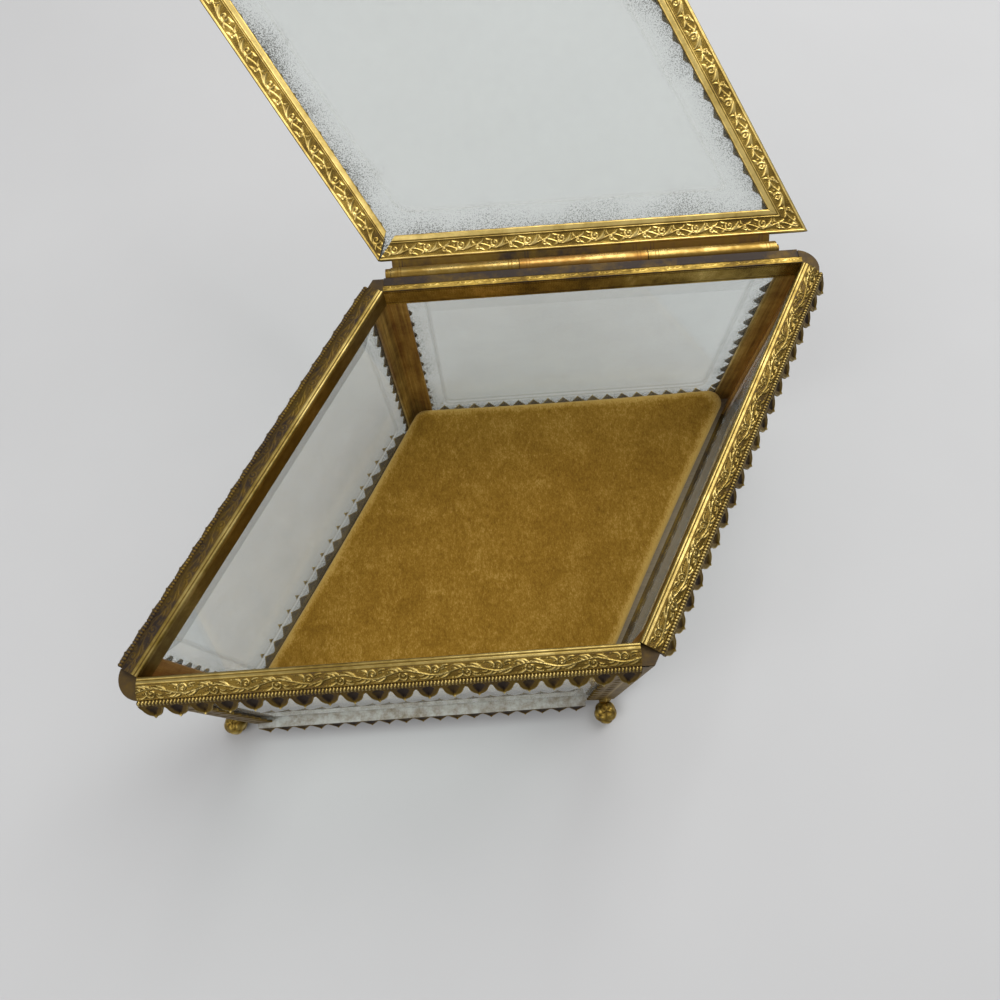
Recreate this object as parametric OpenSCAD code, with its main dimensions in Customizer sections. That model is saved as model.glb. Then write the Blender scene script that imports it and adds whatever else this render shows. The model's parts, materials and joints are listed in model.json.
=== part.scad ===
// Bevelled glass casket on a rhombus plan, with stamped gilt mounts, a velvet pad and a hinged glass lid.
// Stands on four ball feet. X runs along the front edge, Y to the back, Z up; the origin is the plan's
// centre on the table. The lid is drawn open, as it rests on its stop.

/* [Plan] */
// Length of each side of the rhombus, along the inner lip of the rim
side = 105; // [85:1:150]
// Acute corner angle of the plan
corner_angle = 60; // [56:1:72]

/* [Heights] */
// Height of the base strips' top face above the table
base_height = 6.5; // [6:0.1:9]
// Height from the base strips up to the lower edge of the rim's inner lip
wall_height = 69; // [50:1:100]
// Height of the rim's inner lip
lip_height = 5.7; // [5:0.1:8]

/* [Rim rails] */
// Thickness of the inner lip
lip_thick = 0.8; // [0.6:0.1:1]
// Width of the flat fillet beside the lip
fillet_width = 1.7; // [1:0.1:2.5]
// Width of the convex scroll band
band_width = 3; // [2.5:0.1:4]
// How far the scroll band falls across its width
band_fall = 1.1; // [0.6:0.1:1.4]
// Rise of the scroll band's crown above its chord
band_crown = 0.35; // [0.1:0.05:0.6]
// Depth of the rail's solid part below its top
rail_depth = 2.3; // [2:0.1:3]
// Radius of the milled bead
bead_radius = 0.65; // [0.5:0.05:0.9]

/* [Gallery] */
// Spacing of the lobes
lobe_pitch = 5.2; // [4:0.1:7]
// Length of a lobe, down the slope from the bead
lobe_depth = 3.9; // [3:0.1:5]
// Depth at which two neighbouring lobes part
lobe_notch = 1.7; // [1.2:0.1:2.4]
// Length of the drop tip below a lobe
drop_tip = 0.5; // [0.2:0.1:1]
// Radius of the cup stamped into a lobe
cup_radius = 1.1; // [0.6:0.05:1.2]
// Depth of the cup
cup_depth = 0.4; // [0.2:0.05:0.4]
// Thickness of the gallery
gallery_thick = 0.7; // [0.5:0.1:1]
// Angle of the gallery below level
gallery_angle = 58; // [45:1:70]

/* [Panes] */
// Thickness of a pane at its middle
glass_thick = 3; // [2.8:0.1:3.2]
// Thickness of a pane at its edge
glass_edge = 2.2; // [1.8:0.1:2.3]
// Width of the bevel
bevel_width = 11; // [9:0.5:14]
// Outset of a wall pane's inner face from the lip line
pane_outset = 1.05; // [1.05:0.05:1.1]

/* [Corner posts] */
// Thickness of the inner angle strips
inner_post_thick = 0.8; // [0.5:0.1:0.8]
// Width of each flange of an inner angle strip
inner_post_width = 5; // [4:0.5:8]
// Outset of the outer angle strips' face from the lip line
outer_post_outset = 4.8; // [4.7:0.05:4.9]
// Thickness of the outer angle strips
outer_post_thick = 0.9; // [0.6:0.1:0.9]
// Lap of an outer strip's flange over the wall at an obtuse corner, from the lip's corner
obtuse_lap = 3.6; // [3:0.1:5]
// Flat part of an outer strip's flange at an acute corner, before its blunt nose
acute_flat = 2.7; // [0.6:0.1:3]
// Radius of the blunt nose of an outer strip at an acute corner
nose_radius = 5.2; // [5:0.1:6]
// Thickness of the gussets that close the corners between the rails
gusset_thick = 0.8; // [0.5:0.1:1.2]
// Spacing of the teeth along the outer strips
tooth_pitch = 5.3; // [4:0.1:7]
// Height of a tooth
tooth_height = 1.8; // [1:0.1:2.5]

/* [Base] */
// Thickness of the base strips
base_thick = 1; // [0.8:0.1:1.2]
// Reach of the base strips inside the lip line
base_reach = 7; // [5:0.5:10]
// Outset of the base fringe's root from the lip line
fringe_outset = 6.2; // [5.6:0.1:6.6]
// Length of a fringe leaf
fringe_depth = 3.6; // [2.5:0.1:4]
// Angle of the fringe below level
fringe_angle = 16; // [10:1:40]
// Angle of the front fringe below level, which is bent down steeper
front_fringe_angle = 76; // [50:1:82]
// Thickness of the floor board
board_thick = 2; // [1.5:0.1:3]
// Radius of the ball feet
foot_radius = 3.45; // [3:0.05:3.8]
// Height of the leaf that rises from a ball foot over the post
foot_leaf_height = 9; // [7:0.5:14]
// Width of the leaf
foot_leaf_width = 3.4; // [2.4:0.1:4]
// Distance from the post's ridge to the foot's middle, along the wall
foot_from_ridge = 2.6; // [2.2:0.1:4]

/* [Velvet pad] */
// Height of the pad's shoulder above the base strips
pad_height = 13; // [8:0.5:20]
// Inset of the pad from the lip line
pad_inset = 1.45; // [1.2:0.05:3]
// Rise of the crown above the shoulder
pad_crown = 1; // [0.5:0.1:3]
// Radius of the pad's corners
pad_corner = 4; // [2:0.5:8]
// How far the sides are drawn in at the middle of each side
pad_draw = 0.5; // [0:0.1:1]

/* [Lid] */
// How far the lid is open, from shut to its stop
open_angle = 143.5; // [100:0.5:143.5]
// Outset of the lid's outer edge from the lip line
lid_outset = 3.3; // [2.6:0.1:3.5]
// Width of a lid bar's face under the glass
lid_bar_width = 6.1; // [5:0.1:8]
// Width of a lid bar's flange over the glass, without its teeth
lid_flange_width = 4.5; // [3.5:0.1:5]
// Thickness of the lid bars' sheet
lid_sheet = 0.8; // [0.6:0.1:0.9]
// Gap between the shut lid and the rim
lid_gap = 0.3; // [0.2:0.05:0.5]

/* [Hinge] */
// Outset of the hinge's axis from the lip line
hinge_outset = 7.3; // [7.2:0.05:7.5]
// Depth of the hinge's axis below the rim's top
hinge_drop = 3.9; // [3.8:0.05:4]
// Radius of the barrel
barrel_radius = 2.1; // [1.9:0.05:2.2]
// Length of one knuckle
knuckle_length = 33; // [22:1:33]
// Distance from the rail's end to the barrel
barrel_margin = 1.6; // [1.4:0.1:3]
// Radius of the hinge pin
pin_radius = 0.75; // [0.6:0.05:0.9]
// Running clearance around the pin
pin_clearance = 0.05; // [0.03:0.01:0.1]
// Outset of the rear shelf's edge from the lip line
shelf_outset = 8.75; // [8.5:0.05:8.8]

/* [Clearances] */
// Gap between pieces that lie beside each other
joint_gap = 0.1; // [0.05:0.05:0.15]
// Gap around the soft pad
pad_gap = 0.3; // [0.2:0.05:0.5]

/* [Hidden] */

gilt = [0.72, 0.58, 0.28];
tarnish = [0.36, 0.29, 0.16];
old_brass = [0.55, 0.4, 0.17];
glass = [0.8, 0.86, 0.84, 0.4];

// Sides are numbered front, right, back, left. In a side's own frame x runs along the wall from its middle
// to the acute corner, y outward from the lip line, and z up.
FRONT = 0;
RIGHT = 1;
BACK = 2;
LEFT = 3;
SIDE_TURN = [180, corner_angle - 180, 0, corner_angle];
ACUTE_SIGN = [1, -1, 1, -1];
// Corners are numbered from the front left one: a and c are acute, b and d obtuse.
CORNER_SIDES = [[FRONT, LEFT], [FRONT, RIGHT], [BACK, RIGHT], [BACK, LEFT]];

// Overlap by which one plate runs into another of the same piece
weld = 0.1;
// Small step by which a plate or a row of teeth sits back from the face that it grows from
set_back = 0.05;
// Gap between the inner angle strips and the panes
strip_gap = 0.05;

half = side / 2;
inradius = side * sin(corner_angle) / 2;
side_shift = side * cos(corner_angle) / 2;
lip_z = base_height + wall_height;
rim_top = lip_z + lip_height;
seat_z = rim_top - rail_depth;

// Extra length beyond the lip's corner at which two walls meet, at a given outset
function acute_gain(out) = out / tan(corner_angle / 2);
function obtuse_gain(out) = out * tan(corner_angle / 2);
function is_acute(corner) = corner % 2 == 0;

// At a corner, points are counted from the lip's corner, in the frame of the corner's first wall. The
// corner's ridge point lies at a given outset from both walls, and other_wall mirrors a point onto the
// second wall.
function ridge_point(corner, out) = is_acute(corner) ? [acute_gain(out), out] : [-obtuse_gain(out), out];
function other_wall(corner, point) = let (ridge = ridge_point(corner, 1) / norm(ridge_point(corner, 1)))
    2 * (point * ridge) * ridge - point;

module on_side(i) {
    rotate([0, 0, SIDE_TURN[i]])
        translate([ACUTE_SIGN[i] * side_shift, inradius, 0])
            mirror([ACUTE_SIGN[i] < 0 ? 1 : 0, 0, 0])
                children();
}

module at_corner(corner) {
    on_side(CORNER_SIDES[corner][0])
        translate([is_acute(corner) ? half : -half, 0, 0])
            children();
}

// A strip along one wall between two outsets, mitred to its neighbours at both corners
function strip_outline(in_out, out_out, gap) = [
    [-half - obtuse_gain(in_out) + gap, in_out],
    [half + acute_gain(in_out) - gap, in_out],
    [half + acute_gain(out_out) - gap, out_out],
    [-half - obtuse_gain(out_out) + gap, out_out]];

// The blunt nose of the acute corners: its centre, and its arc in steps of which NOSE_STEPS reach the ridge
NOSE_STEPS = 6;
nose = ridge_point(0, outer_post_outset - nose_radius);
function nose_arc(radius, steps, gap) = [for (j = [0:steps])
    let (a = (90 - corner_angle / 2) * j / NOSE_STEPS - (j == steps ? gap / radius * 180 / PI : 0))
    nose + radius * [sin(a), cos(a)]];
function reversed(points) = [for (i = [len(points) - 1:-1:0]) points[i]];

// The rhombus at a given outset from the lip line
function rhombus(out) = let (long = (inradius + out) / sin(corner_angle / 2),
        short = (inradius + out) / cos(corner_angle / 2), turn = corner_angle / 2)
    [[-long * cos(turn), -long * sin(turn)], [short * sin(turn), -short * cos(turn)],
     [long * cos(turn), long * sin(turn)], [-short * sin(turn), short * cos(turn)]];

// Extrudes a profile drawn in (outset, height) along x
module along_wall(from, to) {
    translate([from, 0, 0])
        rotate([90, 0, 90])
            linear_extrude(to - from)
                children();
}

// The lower edge of one lobe, for t from 0 to 1 across it
LOBE_STEPS = 8;
function lobe_edge(t, depth, notch, tip) =
    notch + (depth - notch) * sqrt(sin(180 * t)) + (t == 0.5 ? tip : 0);

// A cup's plan: a circle that runs down to a point. Its centre lies at a share of the lobe's depth, and
// its point at so many radii below the centre.
CUP_CENTRE = 0.42;
CUP_POINT = 1.65;
CUP_SHOULDER = 0.75;

module cup_outline(radius) {
    circle(r = radius, $fn = 24);
    polygon([[-CUP_SHOULDER * radius, radius / 3], [CUP_SHOULDER * radius, radius / 3],
        [0, CUP_POINT * radius]]);
}

// A row of cupped lobes that hangs from a root strip, in a plate whose face is up
module lobe_row(from, to, depth, notch, tip, root, cup) {
    count = max(1, round((to - from) / lobe_pitch));
    pitch = (to - from) / count;
    difference() {
        linear_extrude(gallery_thick)
            polygon(concat([[to, -root], [from, -root]],
                [for (i = [0:count - 1], j = [0:LOBE_STEPS - 1])
                    [from + (i + j / LOBE_STEPS) * pitch, lobe_edge(j / LOBE_STEPS, depth, notch, tip)]],
                [[to, notch]]));
        for (i = [0:count - 1])
            translate([from + (i + 0.5) * pitch, depth * CUP_CENTRE, gallery_thick - cup_depth])
                linear_extrude(cup_depth + weld)
                    cup_outline(cup);
    }
}

// Slopes a plate of the gallery's thickness outward and down from its root line
module sloping(root_out, root_z, angle) {
    translate([0, root_out, root_z])
        rotate([-angle, 0, 0])
            translate([0, 0, -gallery_thick / 2])
                children();
}

// Rim rails

// The bead stands half proud of the band's edge, and the gallery grows from under it
band_out = fillet_width + band_width;
bead_out = band_out + bead_radius * 0.8;
bead_z = rim_top - band_fall - bead_radius * 0.7;
gallery_out = bead_out + bead_radius * 0.3;
gallery_z = bead_z - bead_radius * 0.5;
gallery_root = 0.4;
BAND_STEPS = 6;

module rim_profile() {
    polygon(concat(
        [[0, lip_z], [0, rim_top], [fillet_width, rim_top]],
        [for (i = [1:BAND_STEPS]) let (t = i / BAND_STEPS)
            [fillet_width + t * band_width, rim_top - t * band_fall + band_crown * sin(180 * t)]],
        [[bead_out, seat_z], [lip_thick, seat_z], [lip_thick, lip_z]]));
}

module rim_rail(i) {
    color(i == LEFT ? tarnish : gilt)
    on_side(i) {
        along_wall(-half, half)
            rim_profile();
        along_wall(-half, half)
            translate([bead_out, bead_z])
                circle(r = bead_radius, $fn = 20);
        sloping(gallery_out, gallery_z, gallery_angle)
            lobe_row(-half, half, lobe_depth, lobe_notch, drop_tip, gallery_root, cup_radius);
    }
}

// The rear rail steps down behind its fillet, runs over the pane, and steps down again in front of the
// hinge barrel to a shelf below it
over_pane = 0.8;
shelf_drop = 0.9;
shelf_z = rim_top - hinge_drop - barrel_radius - shelf_drop;
shelf_thick = 0.8;
barrel_gap = 0.15;
step_outset = hinge_outset - barrel_radius - barrel_gap;
step_thick = 0.7;

module rear_rail() {
    color(old_brass)
    on_side(BACK)
        along_wall(-half, half)
            polygon([[0, lip_z], [0, rim_top], [fillet_width, rim_top], [fillet_width, seat_z + over_pane],
                [step_outset, seat_z + over_pane], [step_outset, shelf_z],
                [shelf_outset, shelf_z], [shelf_outset, shelf_z - shelf_thick],
                [step_outset - step_thick, shelf_z - shelf_thick], [step_outset - step_thick, seat_z],
                [lip_thick, seat_z], [lip_thick, lip_z]]);
}

// Panes

// A bevelled plate: full size at its inner face, smaller at its outer face
module wall_pane(i) {
    low = -half - obtuse_gain(pane_outset) + 2 * joint_gap;
    nose_room = nose_radius - outer_post_thick - joint_gap;
    high = half + nose[0] + sqrt(pow(nose_room, 2) - pow(pane_outset + glass_edge - nose[1], 2));
    color(glass)
    on_side(i)
        hull() {
            translate([low, pane_outset, base_height])
                cube([high - low, glass_edge, seat_z - base_height]);
            translate([low + bevel_width, pane_outset, base_height + bevel_width])
                cube([high - low - 2 * bevel_width, glass_thick, seat_z - base_height - 2 * bevel_width]);
        }
}

// Corner posts

inner_post_out = pane_outset - strip_gap;
inner_post_in = inner_post_out - inner_post_thick;

// The plan of an angle strip around a corner: its free edges, and the points of its outer and inner ridge
function angle_outline(corner, free_x, out_out, in_out, outer_ridge, inner_ridge) = concat(
    [[free_x, in_out], [free_x, out_out]], outer_ridge,
    [other_wall(corner, [free_x, out_out]), other_wall(corner, [free_x, in_out])], reversed(inner_ridge));

module inner_post(corner) {
    free_x = is_acute(corner) ? -inner_post_width : inner_post_width;
    color(old_brass)
    at_corner(corner)
        translate([0, 0, base_height])
            linear_extrude(lip_z - base_height)
                polygon(angle_outline(corner, free_x, inner_post_out, inner_post_in,
                    [ridge_point(corner, inner_post_out)], [ridge_point(corner, inner_post_in)]));
}

outer_in = outer_post_outset - outer_post_thick;

// An outer angle strip between two heights: a blunt nose at an acute corner, a ridge at an obtuse one
module outer_angle(corner, free_x, low, high) {
    acute = is_acute(corner);
    at_corner(corner)
        translate([0, 0, low])
            linear_extrude(high - low)
                polygon(angle_outline(corner, free_x, outer_post_outset, outer_in,
                    acute ? nose_arc(nose_radius, 2 * NOSE_STEPS, 0)
                        : [ridge_point(corner, outer_post_outset)],
                    acute ? nose_arc(nose_radius - outer_post_thick, 2 * NOSE_STEPS, 0)
                        : [ridge_point(corner, outer_in)]));
}

// Teeth on the free edge of an outer flange, counted from the post's foot
module post_teeth(corner, which, free_x, high) {
    s = is_acute(corner) ? 1 : -1;
    edge = s * half + free_x;
    count = floor((high - base_height) / tooth_pitch);
    root = 0.6;
    on_side(CORNER_SIDES[corner][which])
        translate([0, outer_post_outset - set_back, base_height])
            rotate([90, 0, 0])
                linear_extrude(outer_post_thick - 2 * set_back)
                    polygon(concat(
                        [[edge + s * root, count * tooth_pitch], [edge + s * root, 0]],
                        [for (i = [0:count - 1], j = [0, 1])
                            [edge - s * j * tooth_height, (i + j / 2) * tooth_pitch]],
                        [[edge, count * tooth_pitch]]));
}

// A plate that closes the wedge between two square-cut rails over an obtuse corner
module gusset(corner) {
    outer_end = [-set_back, outer_post_outset];
    at_corner(corner)
        translate([0, 0, seat_z + set_back])
            linear_extrude(gusset_thick)
                polygon([[-set_back, set_back / tan(corner_angle / 2)], outer_end,
                    ridge_point(corner, outer_post_outset), other_wall(corner, outer_end)]);
}

// The same over an acute corner, where the nose's wall rises past the rails' ends up to the plate
module nose_cap(corner, low) {
    arc = nose_arc(nose_radius, 2 * NOSE_STEPS, 0);
    inner_arc = nose_arc(nose_radius - outer_post_thick, 2 * NOSE_STEPS, 0);
    function clear_of_rails(points) = [for (p = points)
        if (min(p[0], other_wall(corner, p)[0]) > set_back) p];
    first = min([for (j = [1:NOSE_STEPS]) if (arc[j][0] > set_back) j]);
    way = arc[first] - arc[first - 1];
    start = arc[first] - way * (arc[first][0] - set_back) / way[0];
    edge = concat([start], clear_of_rails(arc), [other_wall(corner, start)]);
    at_corner(corner) {
        translate([0, 0, low])
            linear_extrude(seat_z + gusset_thick - low)
                polygon(concat(edge, reversed(clear_of_rails(inner_arc))));
        translate([0, 0, seat_z + set_back])
            linear_extrude(gusset_thick)
                polygon(concat([[set_back, set_back * tan(corner_angle / 2)]], edge));
    }
}

module outer_post(corner) {
    acute = is_acute(corner);
    high = corner < 2 ? seat_z : shelf_z - shelf_thick - set_back;
    free_x = acute ? nose[0] - acute_flat : obtuse_lap;
    color(tarnish) {
        outer_angle(corner, free_x, base_height, high);
        for (which = [0, 1])
            post_teeth(corner, which, free_x, high);
        if (acute) {
            nose_cap(corner, high - gusset_thick);
        } else {
            outer_angle(corner, -set_back, high - gusset_thick, seat_z + gusset_thick);
            gusset(corner);
        }
    }
}

// Base

// A base strip's plan: its outer edge follows the post's nose at the acute corner
base_outline = let (gap = joint_gap / 2) concat(
    [[-half - obtuse_gain(-base_reach) + gap, -base_reach],
     [half + acute_gain(-base_reach) - gap, -base_reach]],
    reversed([for (p = nose_arc(nose_radius, NOSE_STEPS, gap)) p + [half, 0]]),
    [[-half - obtuse_gain(outer_post_outset) + gap, outer_post_outset]]);
// The fringe stops short of the posts, and its leaves part close to their root
fringe_margin = 0.4;
fringe_notch = 0.8;
fringe_cup = cup_radius * 0.75;

module base_strip(i) {
    acute_end = half + nose[0] - fringe_margin;
    obtuse_end = -half + obtuse_lap + tooth_height + fringe_margin;
    angle = i == FRONT ? front_fringe_angle : fringe_angle;
    color(tarnish)
    on_side(i) {
        translate([0, 0, base_height - base_thick])
            linear_extrude(base_thick) {
                polygon(base_outline);
                translate([obtuse_end, outer_post_outset - weld])
                    square([acute_end - obtuse_end, fringe_outset - outer_post_outset + weld]);
            }
        sloping(fringe_outset - gallery_thick / 2, base_height - base_thick / 2, angle)
            lobe_row(obtuse_end + weld, acute_end - weld, fringe_depth, fringe_notch, drop_tip, 0,
                fringe_cup);
    }
}

module floor_board() {
    color([0.45, 0.33, 0.2])
    translate([0, 0, base_height])
        linear_extrude(board_thick)
            polygon(rhombus(inner_post_in - joint_gap));
}

// How far a ball foot is worn flat, how thick its leaf is, and how far the leaf starts inside the ball
foot_flat = 0.3;
foot_leaf_thick = 0.9;
leaf_root = 1;
// Reach of the blocks that trim a foot, well past its outline
foot_trim = 4 * foot_radius + foot_leaf_height;

// Stands against an upright face at y = 0, with its leaf on that face
module foot_form() {
    leaf_round = foot_leaf_width / 2;
    union() {
        translate([0, foot_radius, foot_radius - foot_flat])
            sphere(r = foot_radius, $fn = 48);
        translate([-leaf_round, -leaf_root, foot_radius - leaf_root])
            cube([foot_leaf_width, foot_leaf_thick + leaf_root, foot_leaf_height - leaf_round - leaf_root]);
        translate([0, -leaf_root, foot_radius - 2 * leaf_root + foot_leaf_height - leaf_round])
            rotate([-90, 0, 0])
                cylinder(d = foot_leaf_width, h = foot_leaf_thick + leaf_root, $fn = 24);
    }
}

// What lies below the table top
module under_table() {
    translate([-foot_trim / 2, -foot_trim / 2, -foot_trim])
        cube(foot_trim);
}

// On the blunt nose of an acute corner
module nose_foot(corner) {
    color(gilt)
    rotate([0, 0, corner_angle / 2 + (corner == 0 ? 180 : 0) - 90])
        translate([0, (inradius + nose[1]) / sin(corner_angle / 2) + nose_radius, 0])
            difference() {
                foot_form();
                translate([0, -nose_radius, -leaf_root])
                    cylinder(r = nose_radius, h = foot_trim, $fn = 96);
                under_table();
            }
}

// Beside the ridge of an obtuse corner
module ridge_foot(corner) {
    color(gilt)
    on_side(CORNER_SIDES[corner][0])
        translate([foot_from_ridge - half - obtuse_gain(outer_post_outset), outer_post_outset, 0])
            difference() {
                foot_form();
                translate([-foot_trim / 2, -foot_trim, -leaf_root])
                    cube(foot_trim);
                under_table();
            }
}

// Velvet pad: rings of one rounded rhombus, drawn in at the middle of its sides, closed by a crown

ARC_POINTS = 6;
SIDE_POINTS = 9;

// Corner k's rounding centre and its outward heading
function pad_centre(k) = rhombus(-pad_inset - pad_corner)[k];
PAD_HEADING = [corner_angle / 2 - 180, corner_angle / 2 - 90, corner_angle / 2, corner_angle / 2 + 90];
function pad_swing(k) = k % 2 == 0 ? 180 - corner_angle : corner_angle;
function pad_arc(k) = [for (j = [0:ARC_POINTS])
    let (a = PAD_HEADING[k] + pad_swing(k) * (j / ARC_POINTS - 0.5))
    pad_centre(k) + pad_corner * [cos(a), sin(a)]];
function pad_side(k) = let (p = pad_arc(k)[ARC_POINTS], q = pad_arc((k + 1) % 4)[0],
        n = [-(q - p)[1], (q - p)[0]] / norm(q - p))
    [for (j = [1:SIDE_POINTS]) let (t = j / (SIDE_POINTS + 1))
        p + (q - p) * t + n * pad_draw * sin(180 * t)];
pad_outline = [for (k = [0:3]) each concat(pad_arc(k), pad_side(k))];

// Scale and height of each ring, from the foot of the sides over the shoulder to the crown
SHOULDER = 1.6;
FOOT_TUCK = 0.8;
CROWN_SINK = 0.25;
CROWN_POWER = 2.4;
pad_low = base_height + board_thick + pad_gap;
pad_shoulder = base_height + pad_height;
function crown_z(scale) = pad_shoulder - CROWN_SINK + pad_crown * (1 - pow(scale, CROWN_POWER));
pad_rings = concat(
    [[1 - FOOT_TUCK / inradius, pad_low], [1 - FOOT_TUCK / inradius / 4, pad_low + 1],
     [1, (pad_low + pad_shoulder) / 2]],
    [for (a = [0:30:90]) [1 - SHOULDER * (1 - cos(a)) / inradius, pad_shoulder - SHOULDER * (1 - sin(a))]],
    [for (s = [0.9, 0.78, 0.6, 0.4, 0.2]) [s, crown_z(s)]]);

module velvet_pad() {
    n = len(pad_outline);
    rings = len(pad_rings);
    points = concat(
        [for (r = pad_rings) each [for (p = pad_outline) [p[0] * r[0], p[1] * r[0], r[1]]]],
        [[0, 0, crown_z(0)], [0, 0, pad_low]]);
    sides = [for (r = [0:rings - 2], i = [0:n - 1]) let (j = (i + 1) % n)
        each [[r * n + i, (r + 1) * n + i, (r + 1) * n + j], [r * n + i, (r + 1) * n + j, r * n + j]]];
    cap = [for (i = [0:n - 1]) [(rings - 1) * n + i, rings * n, (rings - 1) * n + (i + 1) % n]];
    floor = [for (i = [0:n - 1]) [(i + 1) % n, rings * n + 1, i]];
    color([0.6, 0.45, 0.18])
    polyhedron(points, concat(sides, cap, floor));
}

// Hinge

barrel_z = rim_top - hinge_drop;
barrel_low = -half + barrel_margin;
knuckle_gap = 0.2;
// Overlap of a leaf with its knuckle, and lengths of the pin's two heads
leaf_lap = 1;
pin_cap = 1.3;
pin_button = 0.7;

module on_hinge() {
    on_side(BACK)
        translate([0, hinge_outset, barrel_z])
            children();
}

module knuckle(number) {
    from = barrel_low + number * knuckle_length;
    difference() {
        children();
        translate([from - knuckle_gap, 0, 0])
            rotate([0, 90, 0])
                cylinder(r = pin_radius + pin_clearance, h = knuckle_length + 2 * knuckle_gap, $fn = 32);
    }
}

module barrel(number) {
    translate([barrel_low + number * knuckle_length + knuckle_gap / 2, 0, 0])
        rotate([0, 90, 0])
            cylinder(r = barrel_radius, h = knuckle_length - knuckle_gap, $fn = 40);
}

module hinge_body_leaf() {
    from = barrel_low + knuckle_length + knuckle_gap / 2;
    web_low = shelf_z - barrel_z;
    web_in = barrel_radius - knuckle_gap;
    color(gilt)
    on_hinge()
        knuckle(1)
            union() {
                barrel(1);
                translate([from, -web_in, web_low])
                    cube([knuckle_length - knuckle_gap, web_in + leaf_lap, shelf_drop + barrel_radius / 5]);
            }
}

module hinge_pin() {
    color(old_brass)
    on_hinge()
        rotate([0, 90, 0]) {
            translate([0, 0, barrel_low - pin_button / 2])
                cylinder(r = pin_radius, h = 3 * knuckle_length + pin_button, $fn = 32);
            translate([0, 0, barrel_low - pin_cap])
                cylinder(r = barrel_radius * 0.9, h = pin_cap, $fn = 32);
            translate([0, 0, barrel_low + 3 * knuckle_length])
                cylinder(r = barrel_radius * 0.6, h = pin_button, $fn = 32);
        }
}

// Lid, drawn shut and swung back about the hinge

module lid_pose() {
    translate([0, inradius + hinge_outset, barrel_z])
        rotate([-open_angle, 0, 0])
            translate([0, -inradius - hinge_outset, -barrel_z])
                children();
}

lid_z = rim_top + lid_gap;
lid_glass_z = lid_z + lid_sheet + joint_gap;
lid_wall_in = lid_outset - lid_sheet;
// Rise of the bevel under the flange's teeth, which the flange clears
lid_flange_z = lid_glass_z + glass_edge + joint_gap
    + (glass_thick - glass_edge) * (lid_flange_width + tooth_height) / bevel_width;
lid_top = lid_flange_z + lid_sheet;

module lid_pane() {
    color(glass)
    lid_pose()
        hull() {
            translate([0, 0, lid_glass_z])
                linear_extrude(glass_edge)
                    polygon(rhombus(lid_wall_in - joint_gap));
            translate([0, 0, lid_glass_z])
                linear_extrude(glass_thick)
                    polygon(rhombus(lid_wall_in - joint_gap - bevel_width));
        }
}

// Distance of a lid bar's first and last tooth from the ends of the lip
tooth_margin = 3;

module lid_bar(i) {
    flange_in = lid_outset - lid_flange_width;
    low = -half + tooth_margin;
    high = half - tooth_margin;
    count = round((high - low) / tooth_pitch);
    pitch = (high - low) / count;
    color(gilt)
    lid_pose()
    on_side(i) {
        translate([0, 0, lid_z])
            linear_extrude(lid_sheet)
                polygon(strip_outline(lid_outset - lid_bar_width, lid_outset, joint_gap / 2));
        translate([0, 0, lid_z])
            linear_extrude(lid_top - lid_z)
                polygon(strip_outline(lid_wall_in, lid_outset, joint_gap / 2));
        translate([0, 0, lid_flange_z])
            linear_extrude(lid_sheet)
                polygon(strip_outline(flange_in, lid_outset, joint_gap / 2));
        translate([0, 0, lid_flange_z + set_back])
            linear_extrude(lid_sheet - 2 * set_back)
                polygon(concat([[high, flange_in + lid_sheet], [low, flange_in + lid_sheet]],
                    [for (k = [0:count - 1], j = [0, 1])
                        [low + (k + j / 2) * pitch, flange_in - j * tooth_height]],
                    [[high, flange_in]]));
    }
}

// The leaf is one plate along the lid's wall and over the barrel. Its two webs come down from there to their
// knuckles. They meet the shelf's edge when the lid is fully open, and so stop it.
leaf_low = hinge_drop + 2 * joint_gap;
leaf_web = 1.15;
leaf_side = 0.8;
leaf_short = 0.5;

module hinge_lid_leaf() {
    back = lid_outset - hinge_outset;
    web_low = barrel_radius / 2;
    color(gilt)
    lid_pose()
    on_hinge() {
        translate([barrel_low, back, leaf_low])
            cube([3 * knuckle_length, leaf_lap / 2 - back, leaf_web]);
        translate([barrel_low, back, leaf_low])
            cube([3 * knuckle_length, leaf_side, lid_top - barrel_z - leaf_low - leaf_short]);
        for (number = [0, 2])
            knuckle(number)
                union() {
                    barrel(number);
                    translate([barrel_low + number * knuckle_length + knuckle_gap / 2, -leaf_lap, web_low])
                        cube([knuckle_length - knuckle_gap, leaf_lap * 1.5,
                            leaf_low + leaf_web / 2 - web_low]);
                }
    }
}

rim_rail(FRONT);  // rim_rail_front
rim_rail(RIGHT);  // rim_rail_right
rear_rail();  // rim_rail_back
rim_rail(LEFT);  // rim_rail_left
wall_pane(FRONT);  // pane_front
wall_pane(RIGHT);  // pane_right
wall_pane(BACK);  // pane_back
wall_pane(LEFT);  // pane_left
inner_post(0);  // inner_post_a
inner_post(1);  // inner_post_b
inner_post(2);  // inner_post_c
inner_post(3);  // inner_post_d
outer_post(0);  // outer_post_a
outer_post(1);  // outer_post_b
outer_post(2);  // outer_post_c
outer_post(3);  // outer_post_d
base_strip(FRONT);  // base_strip_front
base_strip(RIGHT);  // base_strip_right
base_strip(BACK);  // base_strip_back
base_strip(LEFT);  // base_strip_left
floor_board();
velvet_pad();
nose_foot(0);  // foot_a
ridge_foot(1);  // foot_b
nose_foot(2);  // foot_c
ridge_foot(3);  // foot_d
hinge_body_leaf();
hinge_pin();
lid_pane();
lid_bar(FRONT);  // lid_bar_front
lid_bar(RIGHT);  // lid_bar_right
lid_bar(BACK);  // lid_bar_back
lid_bar(LEFT);  // lid_bar_left
hinge_lid_leaf();
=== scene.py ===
"""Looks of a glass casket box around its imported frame: stamped mounts, bevelled glass and a velvet pad."""

import json
from functools import partial

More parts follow.
